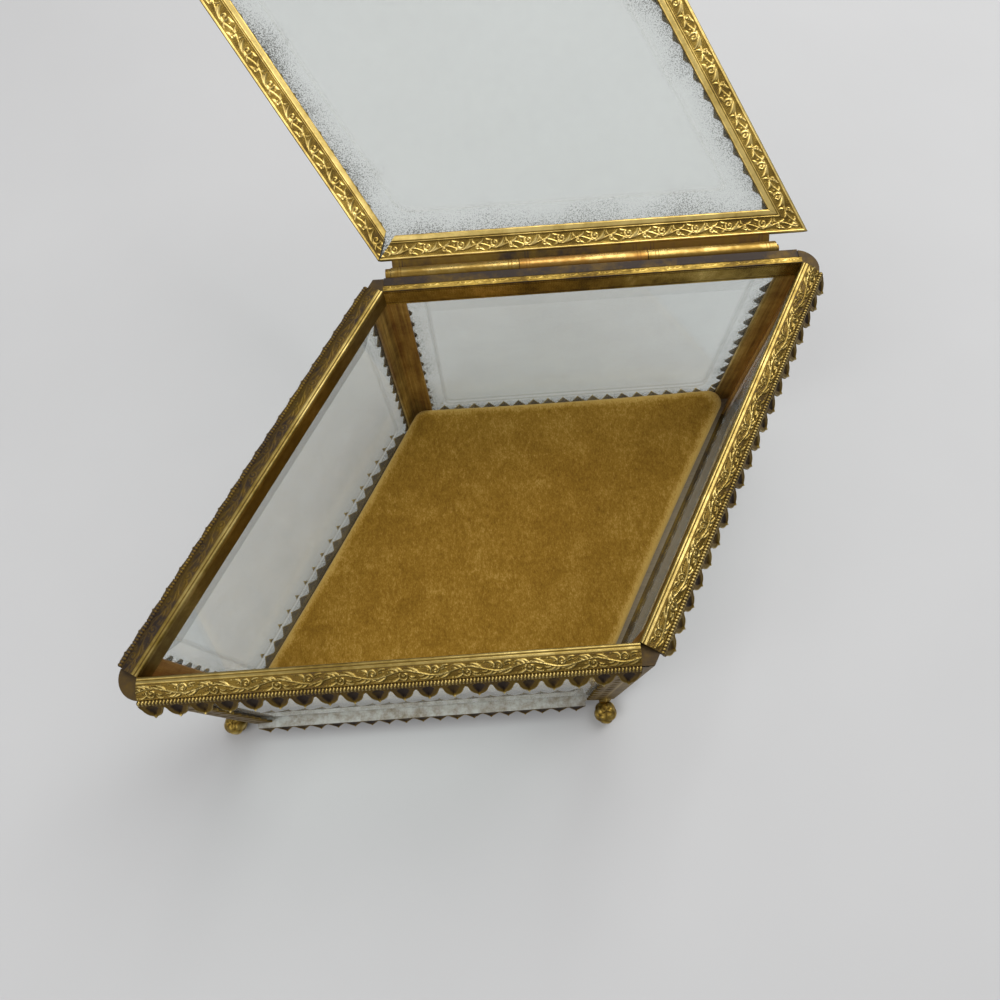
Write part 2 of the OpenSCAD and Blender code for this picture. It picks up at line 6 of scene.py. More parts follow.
import bpy
import numpy as np
from mathutils import Matrix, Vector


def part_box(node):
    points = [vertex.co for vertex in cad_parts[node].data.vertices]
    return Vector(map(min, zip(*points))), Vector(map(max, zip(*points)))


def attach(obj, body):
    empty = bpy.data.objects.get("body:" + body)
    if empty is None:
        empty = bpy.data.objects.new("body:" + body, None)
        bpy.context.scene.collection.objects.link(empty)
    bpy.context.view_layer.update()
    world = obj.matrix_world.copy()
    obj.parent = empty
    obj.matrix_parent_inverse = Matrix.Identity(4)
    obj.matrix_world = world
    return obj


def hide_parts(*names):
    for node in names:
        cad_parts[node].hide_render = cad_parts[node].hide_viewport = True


bl_info = {
    "name": "Glass Casket Box",
    "version": (1, 0, 0),
    "blender": (4, 5, 0),
    "location": "3D View > Sidebar > Casket",
    "description": "Stamped mounts, bevelled glass and a velvet pad around the casket's packed frame",
    "category": "Add Mesh",
}

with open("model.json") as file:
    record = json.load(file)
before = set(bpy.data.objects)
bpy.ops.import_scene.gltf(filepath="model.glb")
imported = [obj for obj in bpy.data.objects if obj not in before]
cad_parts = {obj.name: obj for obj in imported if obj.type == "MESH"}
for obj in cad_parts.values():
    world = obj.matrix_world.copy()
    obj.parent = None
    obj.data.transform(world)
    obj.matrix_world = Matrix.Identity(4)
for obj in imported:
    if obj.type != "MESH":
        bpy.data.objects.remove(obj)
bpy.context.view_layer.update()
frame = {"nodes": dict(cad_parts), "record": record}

MM = 0.001
FRONT, RIGHT, BACK, LEFT = range(4)
SIDE_NAMES = ("front", "right", "back", "left")
CORNER_NAMES = "abcd"
# A corner's two walls. Corners a and c are acute, b and d obtuse.
CORNER_SIDES = ((FRONT, LEFT), (FRONT, RIGHT), (BACK, RIGHT), (BACK, LEFT))


def top_of(node):
    """Height of a node's top above the table, in mm."""
    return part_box(node)[1].z / MM


# Sizes that the frame fixes, in mm
HALF = (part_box("rim_rail_front")[1].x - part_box("rim_rail_front")[0].x) / MM / 2
RIM_TOP = top_of("rim_rail_front")
LIP_LOW = top_of("inner_post_a")
BASE_TOP = top_of("base_strip_back")
BOARD_TOP = top_of("floor_board")
SEAT = top_of("pane_front")
SHELF_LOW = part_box("rim_rail_back")[0].z / MM
ANGLE = np.radians(60)
INRADIUS = HALF * np.sin(ANGLE)
SHIFT = HALF * np.cos(ANGLE)
JOINT = frame["record"]["behaviour"]["joints"][0]
OPEN_ANGLE = np.radians(JOINT["range_deg"][1])
HINGE = np.array(JOINT["pos_m"]) / MM

# Sizes of the mounts that the frame doesn't name, in mm, outward from the lip line where they are outsets
SHEET = 0.8
JOINT_GAP = 0.1
GLASS_THICK, GLASS_EDGE, BEVEL = 3.0, 2.2, 11.0
BAND_FALL, BAND_CROWN = 1.1, 0.35
SHELF_OUT = 8.75
TOOTH_PITCH, TOOTH_HEIGHT = 5.3, 1.8
LID_GAP, LID_OUT, LID_FACE, LID_FLANGE = 0.3, 3.3, 6.1, 4.5
LID_LOW = RIM_TOP + LID_GAP
# The lid pane's edge with its gaps, the bevel's rise up to the flange's teeth, and two thicknesses of sheet
LID_TOP = (LID_LOW + 2 * SHEET + 2 * JOINT_GAP + GLASS_EDGE
           + (GLASS_THICK - GLASS_EDGE) * (LID_FLANGE + TOOTH_HEIGHT) / BEVEL)
POST_OUT, POST_THICK, NOSE_RADIUS, NOSE_FLAT, OBTUSE_LAP = 4.8, 0.9, 5.2, 2.7, 3.6
BASE_THICK, BASE_REACH, BASE_OUT = 1.0, 7.0, 6.2
FOOT_RADIUS, FOOT_WORN = 3.45, 0.3

# Fineness of the meshes along a wall, in mm
GRAIN = 0.14


# Places

def acute_gain(out):
    """Length a wall gains beyond the lip's acute corner: the outset over tan of half the acute angle."""
    return out / np.tan(ANGLE / 2)


def obtuse_gain(out):
    """The same beyond an obtuse corner: the outset times tan of half the acute angle."""
    return out * np.tan(ANGLE / 2)


def bearing(angle):
    """Unit vectors at angles counted from y towards x."""
    return np.stack([np.sin(angle), np.cos(angle)], -1)


def turned(x, y, angle):
    """Coordinates turned about the origin, from x towards y."""
    c, s = np.cos(angle), np.sin(angle)
    return c * x - s * y, s * x + c * y


def points_at(x, y, z):
    """Points from coordinates that spread over one another's rows and columns."""
    return np.stack(np.broadcast_arrays(x, y, z), -1)


def wall_to_box(side, points):
    """Points in a wall's own frame, with x towards its acute corner, y outward from the lip line and z
    up, moved to the box: x is shifted by half the lean, y by the inradius, every other wall is mirrored,
    and the wall is turned."""
    sign = 1 - 2 * (side % 2)
    turn = (np.pi, ANGLE - np.pi, 0, ANGLE)[side]
    x, y = turned(sign * (SHIFT + points[..., 0]), INRADIUS + points[..., 1], turn)
    return points_at(x, y, points[..., 2])


def lid_to_box(points):
    """Points of the shut lid, turned back about the hinge by the open angle."""
    x, y, z = np.moveaxis(points - HINGE, -1, 0)
    return HINGE + points_at(x, *turned(y, z, -OPEN_ANGLE))


def is_acute(corner):
    """Corners a and c are the acute ones."""
    return corner % 2 == 0


def other_wall(corner, xy):
    """Points mirrored onto the corner's other wall: twice their part along the ridge where the walls meet,
    less themselves, counted from the lip's corner in the frame of the corner's first wall."""
    ridge = np.array([acute_gain(1), 1.0] if is_acute(corner) else [-obtuse_gain(1), 1.0])
    ridge /= np.linalg.norm(ridge)
    return 2 * (xy @ ridge)[..., None] * ridge - xy


def corner_to_box(corner, points):
    """Points counted from the lip's corner in its first wall's frame, moved to the box."""
    shift = np.array([HALF if is_acute(corner) else -HALF, 0, 0])
    return wall_to_box(CORNER_SIDES[corner][0], points + shift)


# Meshes

def grid_faces(rows, cols, closed=True):
    """Quads between neighbouring points of a grid, whose columns close on themselves where asked."""
    r = np.arange(rows - 1)[:, None] * cols
    c = np.arange(cols if closed else cols - 1)[None, :]
    d = (c + 1) % cols
    return np.stack([r + c, r + d, r + cols + d, r + cols + c], -1).reshape(-1, 4)


def swept_shell(points, polish):
    """A closed profile carried along a path, as (rows, columns, 3): quads around it and a cap on each end."""
    rows, cols = points.shape[:2]
    caps = [np.arange(cols)[::-1], np.arange(cols) + (rows - 1) * cols]
    finish = np.broadcast_to(polish, (rows, cols)).reshape(-1)
    return points.reshape(-1, 3), grid_faces(rows, cols), caps, finish


def ball_shell(points, polish):
    """Rings from pole to pole, as (rows, columns, 3), whose first and last rings have shrunk to points."""
    rows, cols = points.shape[:2]
    flat, finish = points.reshape(-1, 3), np.broadcast_to(polish, (rows, cols)).reshape(-1)
    inner = flat[cols:-cols]
    n = len(inner)
    around = np.arange(cols)
    turn = (around + 1) % cols
    last = n - cols
    tips = [np.array([n, b, a]) for a, b in zip(around, turn)]
    tips += [np.array([n + 1, a, b]) for a, b in zip(around + last, turn + last)]
    return (np.vstack([inner, flat[:cols].mean(0), flat[-cols:].mean(0)]), grid_faces(rows - 2, cols), tips,
            np.concatenate([finish[cols:-cols], finish[:1], finish[-1:]]))


def prism_shell(to_box, outline, low, high, polish):
    """A flat outline raised from one height to another, and moved to the box."""
    points = np.stack([np.c_[outline, np.full(len(outline), z)] for z in (low, high)])
    return swept_shell(to_box(points), polish)


def signed_volume(points, quads, caps):
    """Sum over a closed shell's triangles of a sixth of their triple product: negative if inside out."""
    triangles = [quads[:, [0, 1, 2]], quads[:, [0, 2, 3]]]
    for cap in caps:
        triangles.append(np.stack([np.full(len(cap) - 2, cap[0]), cap[1:-1], cap[2:]], -1))
    a, b, c = (points[np.vstack(triangles)[:, i]] for i in range(3))
    return np.einsum("ij,ij->", a, np.cross(b, c)) / 6


def place_object(name, data):
    """Puts a mesh, lamp or camera into the scene as a new object."""
    made = bpy.data.objects.new(name, data)
    bpy.context.scene.collection.objects.link(made)
    return made


def make_piece(name, shells, material, node, body="casket", sharp=40):
    """Joins closed shells, given in mm with a finish for each point, into one piece with its faces
    outward, in place of a CAD node. Every point keeps its finish in the attribute polish, from 0 in a dark
    recess to 1 on a rubbed crest; in some places the finish also holds painted shade, painted highlights and
    painted sheen."""
    points, faces, finish, offset = [], [], [], 0
    for p, quads, caps, polish in shells:
        flip = -1 if signed_volume(p - p.mean(0), quads, caps) < 0 else 1
        faces += (quads[:, ::flip] + offset).tolist() + [(cap[::flip] + offset).tolist() for cap in caps]
        points.append(p)
        finish.append(polish)
        offset += len(p)
    mesh = bpy.data.meshes.new(name)
    mesh.from_pydata(np.vstack(points) * MM, [], faces)
    attribute = mesh.attributes.new("polish", "FLOAT", "POINT")
    attribute.data.foreach_set("value", np.concatenate(finish).astype(np.float32))
    mesh.polygons.foreach_set("use_smooth", np.ones(len(mesh.polygons), bool))
    mesh.set_sharp_from_angle(angle=np.radians(sharp))
    mesh.materials.append(material)
    mesh.update()
    piece = place_object(name, mesh)
    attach(piece, body)
    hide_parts(node)
    return piece


def dress(node, material):
    """Gives a CAD node that keeps its own mesh a finish."""
    mesh = frame["nodes"][node].data
    mesh.materials.clear()
    mesh.materials.append(material)


# Stamped ornament, in mm along and across its band

BAND_HALF = 1.6
OFF_BAND = 9
STROKE = 1.35


def unit(value):
    """Clipped to between 0 and 1."""
    return np.clip(value, 0, 1)


def ridge_line(x, centre, width):
    """A rounded line: one less the squared distance over the squared half-width, and no less than zero."""
    return unit(1 - ((x - centre) / width) ** 2)


def curl(u, v, start, end, outer, inner, wide, thin):
    """A spiral stroke about (u, v): its angle and radius both run evenly from start to end, and it thins."""
    t = np.linspace(0, 1, 70)
    a, r = np.radians(start + (end - start) * t), outer + (inner - outer) * t
    return u + r * np.cos(a), v + r * np.sin(a), wide + (thin - wide) * t, 1.0


def leaves(at, *rows):
    """Leaf strokes, each from one point to another, counted along from a place, on a parabola that stands off
    the chord by its bend. Each is widest in the middle, and 0.9 high unless its row ends with a height."""
    t = np.linspace(0, 1, 26)
    made = []
    for u0, v0, u1, v1, bend, wide, *lift in rows:
        du, dv = u1 - u0, v1 - v0
        off = 4 * bend * t * (1 - t) / np.hypot(du, dv)
        made.append((at + u0 + du * t - dv * off, v0 + dv * t + du * off,
                     0.04 + wide * np.sin(np.pi * t ** 0.8) ** 0.8, *(lift or [0.9])))
    return made


def berries(at, *rows):
    """Round bosses at (u, v), counted along from a place, with their radius."""
    return [(np.array([at + u]), np.array([v]), np.array([radius]), 1.0) for u, v, radius in rows]


def rim_scroll(length):
    """A waving stem with a curl, long leaves and berries in each of its two bends, on opposite sides."""
    t = np.linspace(0, 1, 140)
    stem = (length * t, 0.62 * np.sin(2 * np.pi * t), np.full(140, 0.17), 0.95)
    q = length / 4
    bend = [curl(q + 0.1, -0.42, 25, -430, 1.05, 0.16, 0.19, 0.13)]
    bend += leaves(q, (-2.9, 0.25, -0.5, 1.25, 0.28, 0.19), (-2.3, 0.0, 0.3, 0.98, 0.22, 0.13),
                   (0.4, 0.75, 2.4, 1.3, 0.2, 0.18), (1.3, 0.55, 3.3, 1.15, 0.32, 0.2),
                   (2.2, 0.3, 3.6, 0.55, 0.22, 0.14), (1.1, -0.75, 2.6, -1.3, -0.25, 0.2),
                   (-1.0, -0.9, -2.6, -1.2, 0.3, 0.19), (-1.1, -0.45, -2.3, -0.65, 0.2, 0.13))
    bend += berries(q, (0.1, -0.42, 0.2), (1.75, -0.5, 0.16), (-1.9, 1.32, 0.13), (3.1, -1.3, 0.14))
    return [stem] + bend + [(u + length / 2, -v, r, lift) for u, v, r, lift in bend]


def lid_scroll(length):
    """A waving stem with an open curl and a rising leaf above, and a small curl below."""
    t = np.linspace(0, 1, 110)
    stem = (length * t, -0.35 + 0.5 * np.sin(2 * np.pi * t + 2.6), np.full(110, 0.13), 0.85)
    a, b = 0.30 * length, 0.78 * length
    return [stem, curl(a, 0.2, 150, 560, 0.98, 0.2, 0.2, 0.12),
            curl(b, -0.45, -20, -400, 0.58, 0.12, 0.16, 0.1),
            *leaves(a, (0.35, -0.75, 2.4, 1.2, -0.42, 0.24, 1.0), (0.9, -0.8, 2.7, 0.55, -0.3, 0.13),
                    (-1.1, 0.9, -2.4, 1.25, 0.2, 0.16), (-1.0, -0.3, -2.0, -1.1, 0.25, 0.18)),
            *leaves(b, (0.3, -1.0, 1.7, -1.3, 0.15, 0.15), (0.2, 0.35, 1.5, 1.1, -0.3, 0.17),
                    (-0.7, 0.2, -1.3, 1.2, 0.2, 0.14)),
            *berries(a, (0, 0.2, 0.2), (-1.9, 0.2, 0.13)), *berries(b, (0, -0.45, 0.15), (1.0, 0.1, 0.14))]


def scroll_heights(strokes, length, u, v):
    """Height of the stamped strokes at (u, v), from 0 on the ground to 1 on a crest: one less the squared
    distance to a stroke over its squared half-width, the highest stroke winning. It is worked out on a grid
    over one repeat, with each stroke's half-width times STROKE, and read between the grid's points. The
    pattern repeats along u."""
    step = 0.1
    cols, rows = int(round(length / step)), int(round(2 * BAND_HALF / step)) + 1
    gv = np.linspace(-BAND_HALF, BAND_HALF, rows)
    gu, gv = np.meshgrid(np.arange(cols) * length / cols, gv, indexing="ij")
    tile = np.zeros(gu.shape)
    for cu, cv, r, lift in strokes:
        for shift in (-length, 0, length):
            d2 = (gu[..., None] - cu - shift) ** 2 + (gv[..., None] - cv) ** 2
            tile = np.maximum(tile, lift * (1 - d2 / (STROKE * r) ** 2).max(-1))
    fu, fv = np.mod(u / length * cols, cols), np.clip((v + BAND_HALF) / step, 0, rows - 1.001)
    iu, iv = fu.astype(int) % cols, fv.astype(int)
    wu, wv, ju = fu - np.floor(fu), fv - iv, (iu + 1) % cols
    return ((tile[iu, iv] * (1 - wu) + tile[ju, iv] * wu) * (1 - wv)
            + (tile[iu, iv + 1] * (1 - wu) + tile[ju, iv + 1] * wu) * wv)


def chasing(u, v):
    """Fine chased veins on the ground between strokes, from 0 to 1: two crossing families of bent waves."""
    return np.abs(np.sin(6.1 * u + 2.2 * np.sin(4.3 * v)) * np.sin(7.3 * v + 1.9 * np.sin(3.7 * u)))


def line_points(start, end, count):
    """Even points from start up to but not including end."""
    return np.array(start) + (np.array(end) - np.array(start)) * (np.arange(count) / count)[:, None]


def profile_normals(profile):
    """Outward unit normals of a closed profile that runs clockwise, from the points on either side."""
    way = np.roll(profile, -1, 0) - np.roll(profile, 1, 0)
    normal = np.stack([-way[:, 1], way[:, 0]], -1)
    return normal / np.linalg.norm(normal, axis=1)[:, None]


def along_wall(step=GRAIN):
    """A column of places along a wall, from its obtuse corner to its acute one."""
    return np.linspace(-HALF, HALF, int(2 * HALF / step))[:, None]


# Rim rails

def rail_shell(side, sizes):
    """The bent strip of a rim rail: lip, rounded fold, double-lined fillet and stamped scroll band, with the
    relief laid off along the profile's normals. The left rail is the most worn and dark."""
    fillet, band, fold = sizes.fillet_width / MM, sizes.band_width / MM, 0.45
    depth_left, shine_left = (0.45, 0.35) if side == LEFT else (1, 1)
    a = np.linspace(0, np.pi / 2, 6)
    t = np.linspace(0, 1, 29)[1:]
    bead_out = fillet + band + 0.8 * sizes.bead_radius / MM
    profile = np.vstack([
        line_points((0, LIP_LOW), (0, RIM_TOP - fold), 10),
        np.c_[fold * (1 - np.cos(a)), RIM_TOP - fold * (1 - np.sin(a))],
        line_points((fold, RIM_TOP), (fillet, RIM_TOP), 12)[1:],
        np.c_[fillet + t * band, RIM_TOP - t * BAND_FALL + BAND_CROWN * np.sin(np.pi * t)],
        line_points((bead_out, SEAT), (SHEET, SEAT), 3),
        line_points((SHEET, SEAT), (SHEET, LIP_LOW), 3),
        [[SHEET, LIP_LOW]]])
    y, z = profile.T
    normal = profile_normals(profile)
    x = along_wall()
    on_band = (y > fillet) & (y < fillet + band + 0.01) & (z > SEAT + 0.3)
    on_fillet = (y > 0.2) & (y <= fillet) & (z > RIM_TOP - 0.2)
    across = (y - fillet) / band
    v = np.where(on_band, (across - 0.5) * 3.1, OFF_BAND)
    fade = unit(1.12 - np.abs(2 * across - 1) ** 6) * on_band
    grooves = on_fillet * (ridge_line(y, 0.75, 0.14) + ridge_line(y, fillet - 0.1, 0.16))
    length = sizes.rim_scroll_length / MM
    scroll = scroll_heights(rim_scroll(length), length, x, v)
    ground = chasing(x, v) * on_band * (1 - unit(3 * scroll))
    stamped = sizes.scroll_depth / MM * depth_left * fade * (scroll + 0.3 * ground - 0.8)
    lift = stamped - 0.07 * grooves + 0.05 * ridge_line(across, 0.04, 0.05) * on_band
    wave = 0.024 * np.sin(x / 7.3 + side) + 0.018 * np.sin(x / 2.9 + 2 * side)
    points = points_at(x, y + lift * normal[:, 0], z + lift * normal[:, 1] + wave * (z < LIP_LOW + 3))
    polish = np.where(on_band, (0.22 + 0.3 * ground + 0.68 * scroll ** 0.6) * shine_left, 0.52)
    polish = np.where(on_fillet | ((z > RIM_TOP - 1.2) & (y < 0.5)), 0.78 - 0.6 * grooves, polish)
    # The underside and the back of the lip, under the rail, are darkened as painted shade.
    polish = np.where((y > 0.5) & (z < RIM_TOP - 1.6), 0.08, polish)
    return swept_shell(wall_to_box(side, points), polish)


def rear_rail_shell(sizes):
    """The rear rail's bent strip: lip, fillet, step over the pane, upright behind the barrel, and shelf below
    it, with a shallow scroll pressed into the fillet and lines into the lip."""
    fillet, fold, chamfer = sizes.fillet_width / MM, 0.3, 0.09
    before_hinge, upright_thick, lip_tall = 2.25, 0.7, 5.4
    step = HINGE[1] - INRADIUS - before_hinge
    inner_step, trough, shelf_top = step - upright_thick, SEAT + SHEET, SHELF_LOW + SHEET
    lip_count, top_count = 24, 16
    profile = np.vstack([
        line_points((0, LIP_LOW), (0, RIM_TOP - fold), lip_count),
        [[0, RIM_TOP - fold], [chamfer, RIM_TOP - chamfer]],
        line_points((fold, RIM_TOP), (fillet, RIM_TOP), top_count),
        [[fillet, RIM_TOP], [fillet, trough], [step, trough], [step, shelf_top], [SHELF_OUT, shelf_top],
         [SHELF_OUT, SHELF_LOW], [inner_step, SHELF_LOW], [inner_step, SEAT], [SHEET, SEAT],
         [SHEET, LIP_LOW]]])
    y, z = profile.T
    x = along_wall(0.15)
    order = np.arange(len(y))
    on_lip = order < lip_count
    on_top = (order >= lip_count + 2) & (order < lip_count + 2 + top_count)
    v = np.where(on_top, (y - fold) / (fillet - fold) * 3 - 1.5,
                 np.where(on_lip, (z - LIP_LOW) / lip_tall * 3 - 1.5, OFF_BAND))
    length = sizes.lid_scroll_length / MM
    scroll = scroll_heights(lid_scroll(length), length, x, v)
    fine = chasing(x * 0.8, v * 1.3)
    lines = on_lip * (ridge_line(z, LIP_LOW + 0.7, 0.2) + ridge_line(z, RIM_TOP - 1.0, 0.15))
    lip_press = on_lip * (0.04 + 0.05 * fine * (1 - lines) + 0.08 * lines)
    points = points_at(x, y + lip_press, z - on_top * 0.12 * (0.9 - scroll))
    # Everything but the fillet and the lip, that is the trough, the step, the shelf under the barrel and the
    # undersides, is darkened almost to black as painted shade.
    polish = np.where(on_top, 0.38 + 0.22 * scroll, np.where(on_lip, 0.66 - 0.3 * fine - 0.35 * lines, 0.03))
    return swept_shell(wall_to_box(BACK, points), polish)


def bead_shell(side, sizes):
    """The milled bead: a circle carried along the rail, whose radius dips at every mark, slightly aslant."""
    radius, pitch = sizes.bead_radius / MM, sizes.mill_pitch / MM
    out = (sizes.fillet_width + sizes.band_width) / MM + 0.8 * radius
    height = RIM_TOP - BAND_FALL - 0.7 * radius
    x = np.linspace(-HALF, HALF, int(2 * HALF / pitch) * 8 + 1)[:, None]
    a = np.linspace(0, 2 * np.pi, 12, endpoint=False)
    mark = (0.5 + 0.5 * np.cos(2 * np.pi * x / pitch + 0.5 * np.sin(a))) ** 1.6
    r = radius * (1 - 0.3 * mark)
    points = points_at(x, out + r * np.cos(a), height + r * np.sin(a))
    return swept_shell(wall_to_box(side, points), (0.3 if side == LEFT else 0.85) * (1 - mark) ** 0.8)


# How far a strip hangs down at distances from a lobe's middle. The gallery's lobes are bowls with a drop tip,
# parted by steep notches. The fringe's are pointed leaves that part close to their root.
LOBE_PITCH, LOBE_THICK = 5.25, 0.7
GALLERY_LOBE = ([0, 0.22, 0.5, 1.0, 1.5, 1.8, 1.98, 2.12, 2.35, 2.63],
                [4.4, 4.08, 3.88, 3.66, 3.2, 2.7, 2.25, 1.7, 1.3, 1.2])
FRINGE_LOBE = ([0, 0.2, 0.6, 1.1, 1.6, 2.0, 2.3, 2.63], [4.1, 3.8, 3.2, 2.5, 1.75, 1.1, 0.75, 0.7])


def lobed_shell(side, lobe, out, height, slope, low, high, cup, tarnish):
    """A strip of whole lobes from low to high along a wall, which slopes outward and down from its
    root: each lobe is a shield with a raised rim, a drop tip and a pointed cup, pressed through so
    that its back bulges."""
    pitch = (high - low) / round((high - low) / LOBE_PITCH)
    x = np.linspace(low, high, int((high - low) / 0.15))[:, None]
    front_count, back_count, lobe_length, cup_half = 17, 9, 3.9, 1.3
    s = np.concatenate([np.linspace(0, 1, front_count), np.linspace(0.93, 0, back_count)])
    front = np.arange(len(s)) < front_count
    du = np.abs(np.mod(x - low, pitch) - pitch / 2)
    reach = np.interp(du * LOBE_PITCH / pitch, *lobe)
    down = s * reach
    body = down * lobe_length / lobe[1][0]
    half_wide = cup_half * np.where(body > 1.0, unit(1 - (body - 1.0) / 2.0) ** 0.8,
                               np.sqrt(ridge_line(body, 1.0, 0.6)))
    hollow = ridge_line(du, 0, np.maximum(half_wide, 1e-3)) ** 0.5 * (half_wide > 0.02)
    rim = ridge_line(reach - down, 0.45, 0.45)
    drop = ridge_line(du, 0, 0.4) * ridge_line(body, 3.6, 0.6)
    seam = ridge_line(du, pitch / 2, 0.3) * ridge_line(body, 0.8, 0.5)
    lift = np.where(front, LOBE_THICK / 2 + 0.12 * rim + 0.22 * drop - cup * hollow - 0.15 * seam,
                    -LOBE_THICK / 2 - 0.3 * cup * hollow)
    lift = lift * (1 - 0.6 * unit((s - 0.9) / 0.1) ** 2)
    c, n = np.cos(slope), np.sin(slope)
    points = points_at(x, out + down * c + lift * n, height - down * n + lift * c)
    # The cups and the notches between lobes are darkened as tarnish and painted shade; the raised rim is
    # lightened as rubbed gilt and painted highlight, and the drop tip as a painted highlight.
    shade = unit(1 - 2.5 * hollow) * (1 - 0.8 * seam)
    polish = (tarnish + front * (0.42 * rim ** 2 + 0.4 * drop)) * shade
    return swept_shell(wall_to_box(side, points), polish)


# Lid bars

def lid_bar_shell(side, sizes):
    """A bar of the shut lid: a stamped face under the glass, an outer wall with a scroll, and a flange with
    leaf teeth over the glass, cut to a mitre at both ends. Two bars fall short of their mitre towards the
    glass, so that it gapes."""
    inner, tooth_line = LID_OUT - LID_FACE, LID_OUT - LID_FLANGE
    counts = (46, 23, 20, 6, 6, 5)
    t = np.linspace(0, 1, counts[0])
    profile = np.vstack([
        np.c_[inner + t * LID_FACE, np.full(counts[0], LID_LOW)],
        line_points((LID_OUT, LID_LOW), (LID_OUT, LID_TOP), counts[1] + 1)[1:],
        np.c_[np.linspace(LID_OUT, tooth_line, counts[2]), np.full(counts[2], LID_TOP)],
        np.tile([tooth_line, LID_TOP], (counts[3], 1)),
        np.tile([tooth_line, LID_TOP - 0.8 * SHEET], (counts[4], 1)),
        [[tooth_line, LID_TOP - SHEET], [LID_OUT - SHEET - 0.3, LID_TOP - SHEET],
         [LID_OUT - SHEET, LID_TOP - SHEET], [LID_OUT - SHEET, LID_LOW + SHEET], [inner, LID_LOW + SHEET]]])
    y, z = profile.T
    on_face, on_wall, on_top = (np.repeat(np.arange(6), counts) == part for part in range(3))
    reach = np.concatenate([np.zeros(sum(counts[:3])), np.arange(1, 7) / 6, np.arange(6, 0, -1) / 6,
                            np.zeros(counts[5])])
    start, end = -HALF - obtuse_gain(y) + 0.05, HALF + acute_gain(y) - 0.05
    if side in (BACK, LEFT):
        start = start + 1.4 * unit((LID_OUT - y) / LID_FACE)
    x = start + np.linspace(0, 1, int(2 * HALF / GRAIN))[:, None] * (end - start)
    margin = 3
    run = 2 * (HALF - margin)
    pitch = run / round(run / TOOTH_PITCH)
    at = np.mod(x + HALF - margin, pitch) / pitch
    inside = unit((HALF - margin - np.abs(x)) / 0.5)
    teeth = TOOTH_HEIGHT * (1 - np.abs(2 * at - 1)) ** 0.75 * inside

    band_middle, band_half = 0.595, 0.265
    across = np.where(on_face, (y - inner) / LID_FACE, OFF_BAND)
    off_middle = (across - band_middle) / band_half
    on_band = np.abs(off_middle) < 1
    length = sizes.lid_scroll_length / MM
    scroll = scroll_heights(lid_scroll(length), length, x, np.where(on_band, -1.38 * off_middle, OFF_BAND))
    groove = (ridge_line(across, 0.245, 0.028) + ridge_line(across, 0.318, 0.024)
              + ridge_line(across, 0.875, 0.02))
    fade = unit(1.15 - np.abs(off_middle) ** 12) * on_band
    edge = unit(1 - across / 0.04) + unit((across - 0.97) / 0.03)
    ground = chasing(x, across * 6) * on_band * (1 - unit(3 * scroll))
    face_press = on_face * (sizes.scroll_depth / MM * fade * (0.8 - scroll - 0.3 * ground) + 0.09 * groove
                            - 0.1 * ridge_line(across, 0.93, 0.045) + 0.15 * edge)

    wall_v = np.where(on_wall, (z - (LID_LOW + LID_TOP) / 2) / (LID_TOP - LID_LOW) * 4,
                      np.where(on_top, (LID_OUT - 1.9 - y) * 1.25, OFF_BAND))
    stamped = np.abs(wall_v) < 1.49
    length *= 1.5
    scroll_out = scroll_heights(rim_scroll(length), length, x, np.where(stamped, wall_v, OFF_BAND))
    lines = ridge_line(np.abs(wall_v), 1.72, 0.12)
    press = 0.14 * (stamped * (1 - scroll_out) + lines)
    points = points_at(x, y - teeth * reach - press * on_wall, z + face_press - press * on_top)
    vein = ridge_line(at, 0.5, 0.12) * (reach > 0)
    polish = np.where(on_face, 0.85 - 0.75 * groove - 0.6 * edge, 0.5)
    polish = np.where(on_band, 0.25 + 0.3 * ground + 0.7 * scroll ** 0.6, polish)
    polish = np.where((reach > 0) | (z > LID_TOP - 1.2), 0.3 + 0.25 * vein, polish)
    polish = np.where(on_wall, 0.12 + 0.3 * scroll_out - 0.1 * lines, polish)
    polish = np.where(on_top, 0.26 + 0.45 * scroll_out - 0.2 * lines, polish)
    return swept_shell(lid_to_box(wall_to_box(side, points)), polish)


# Corner posts

def nose_centre():
    """Centre of an acute corner's blunt nose, from the lip's corner in the wall's frame."""
    out = POST_OUT - NOSE_RADIUS
    return np.array([acute_gain(out), out])


def half_face(acute, out, q):
    """For shares q of the way from a post's ridge to its free edge at this outset: points round the nose and
    along its flat, or along the flat alone, their normals, their distance from the ridge, and the length."""
    if not acute:
        full = OBTUSE_LAP + obtuse_gain(out)
        w = np.minimum(q, 1) * full
        return np.stack([w - obtuse_gain(out), np.full(len(q), out)], -1), np.array([0.0, 1.0]), w, full
    radius = NOSE_RADIUS - (POST_OUT - out)
    swing = np.pi / 2 - ANGLE / 2
    full = radius * swing + NOSE_FLAT
    w = q * full
    normal = bearing(swing - np.clip(w / radius, 0, swing))
    base = nose_centre() + radius * normal
    base[:, 0] -= np.clip(w - radius * swing, 0, NOSE_FLAT)
    return base, normal, np.minimum(w, full), full


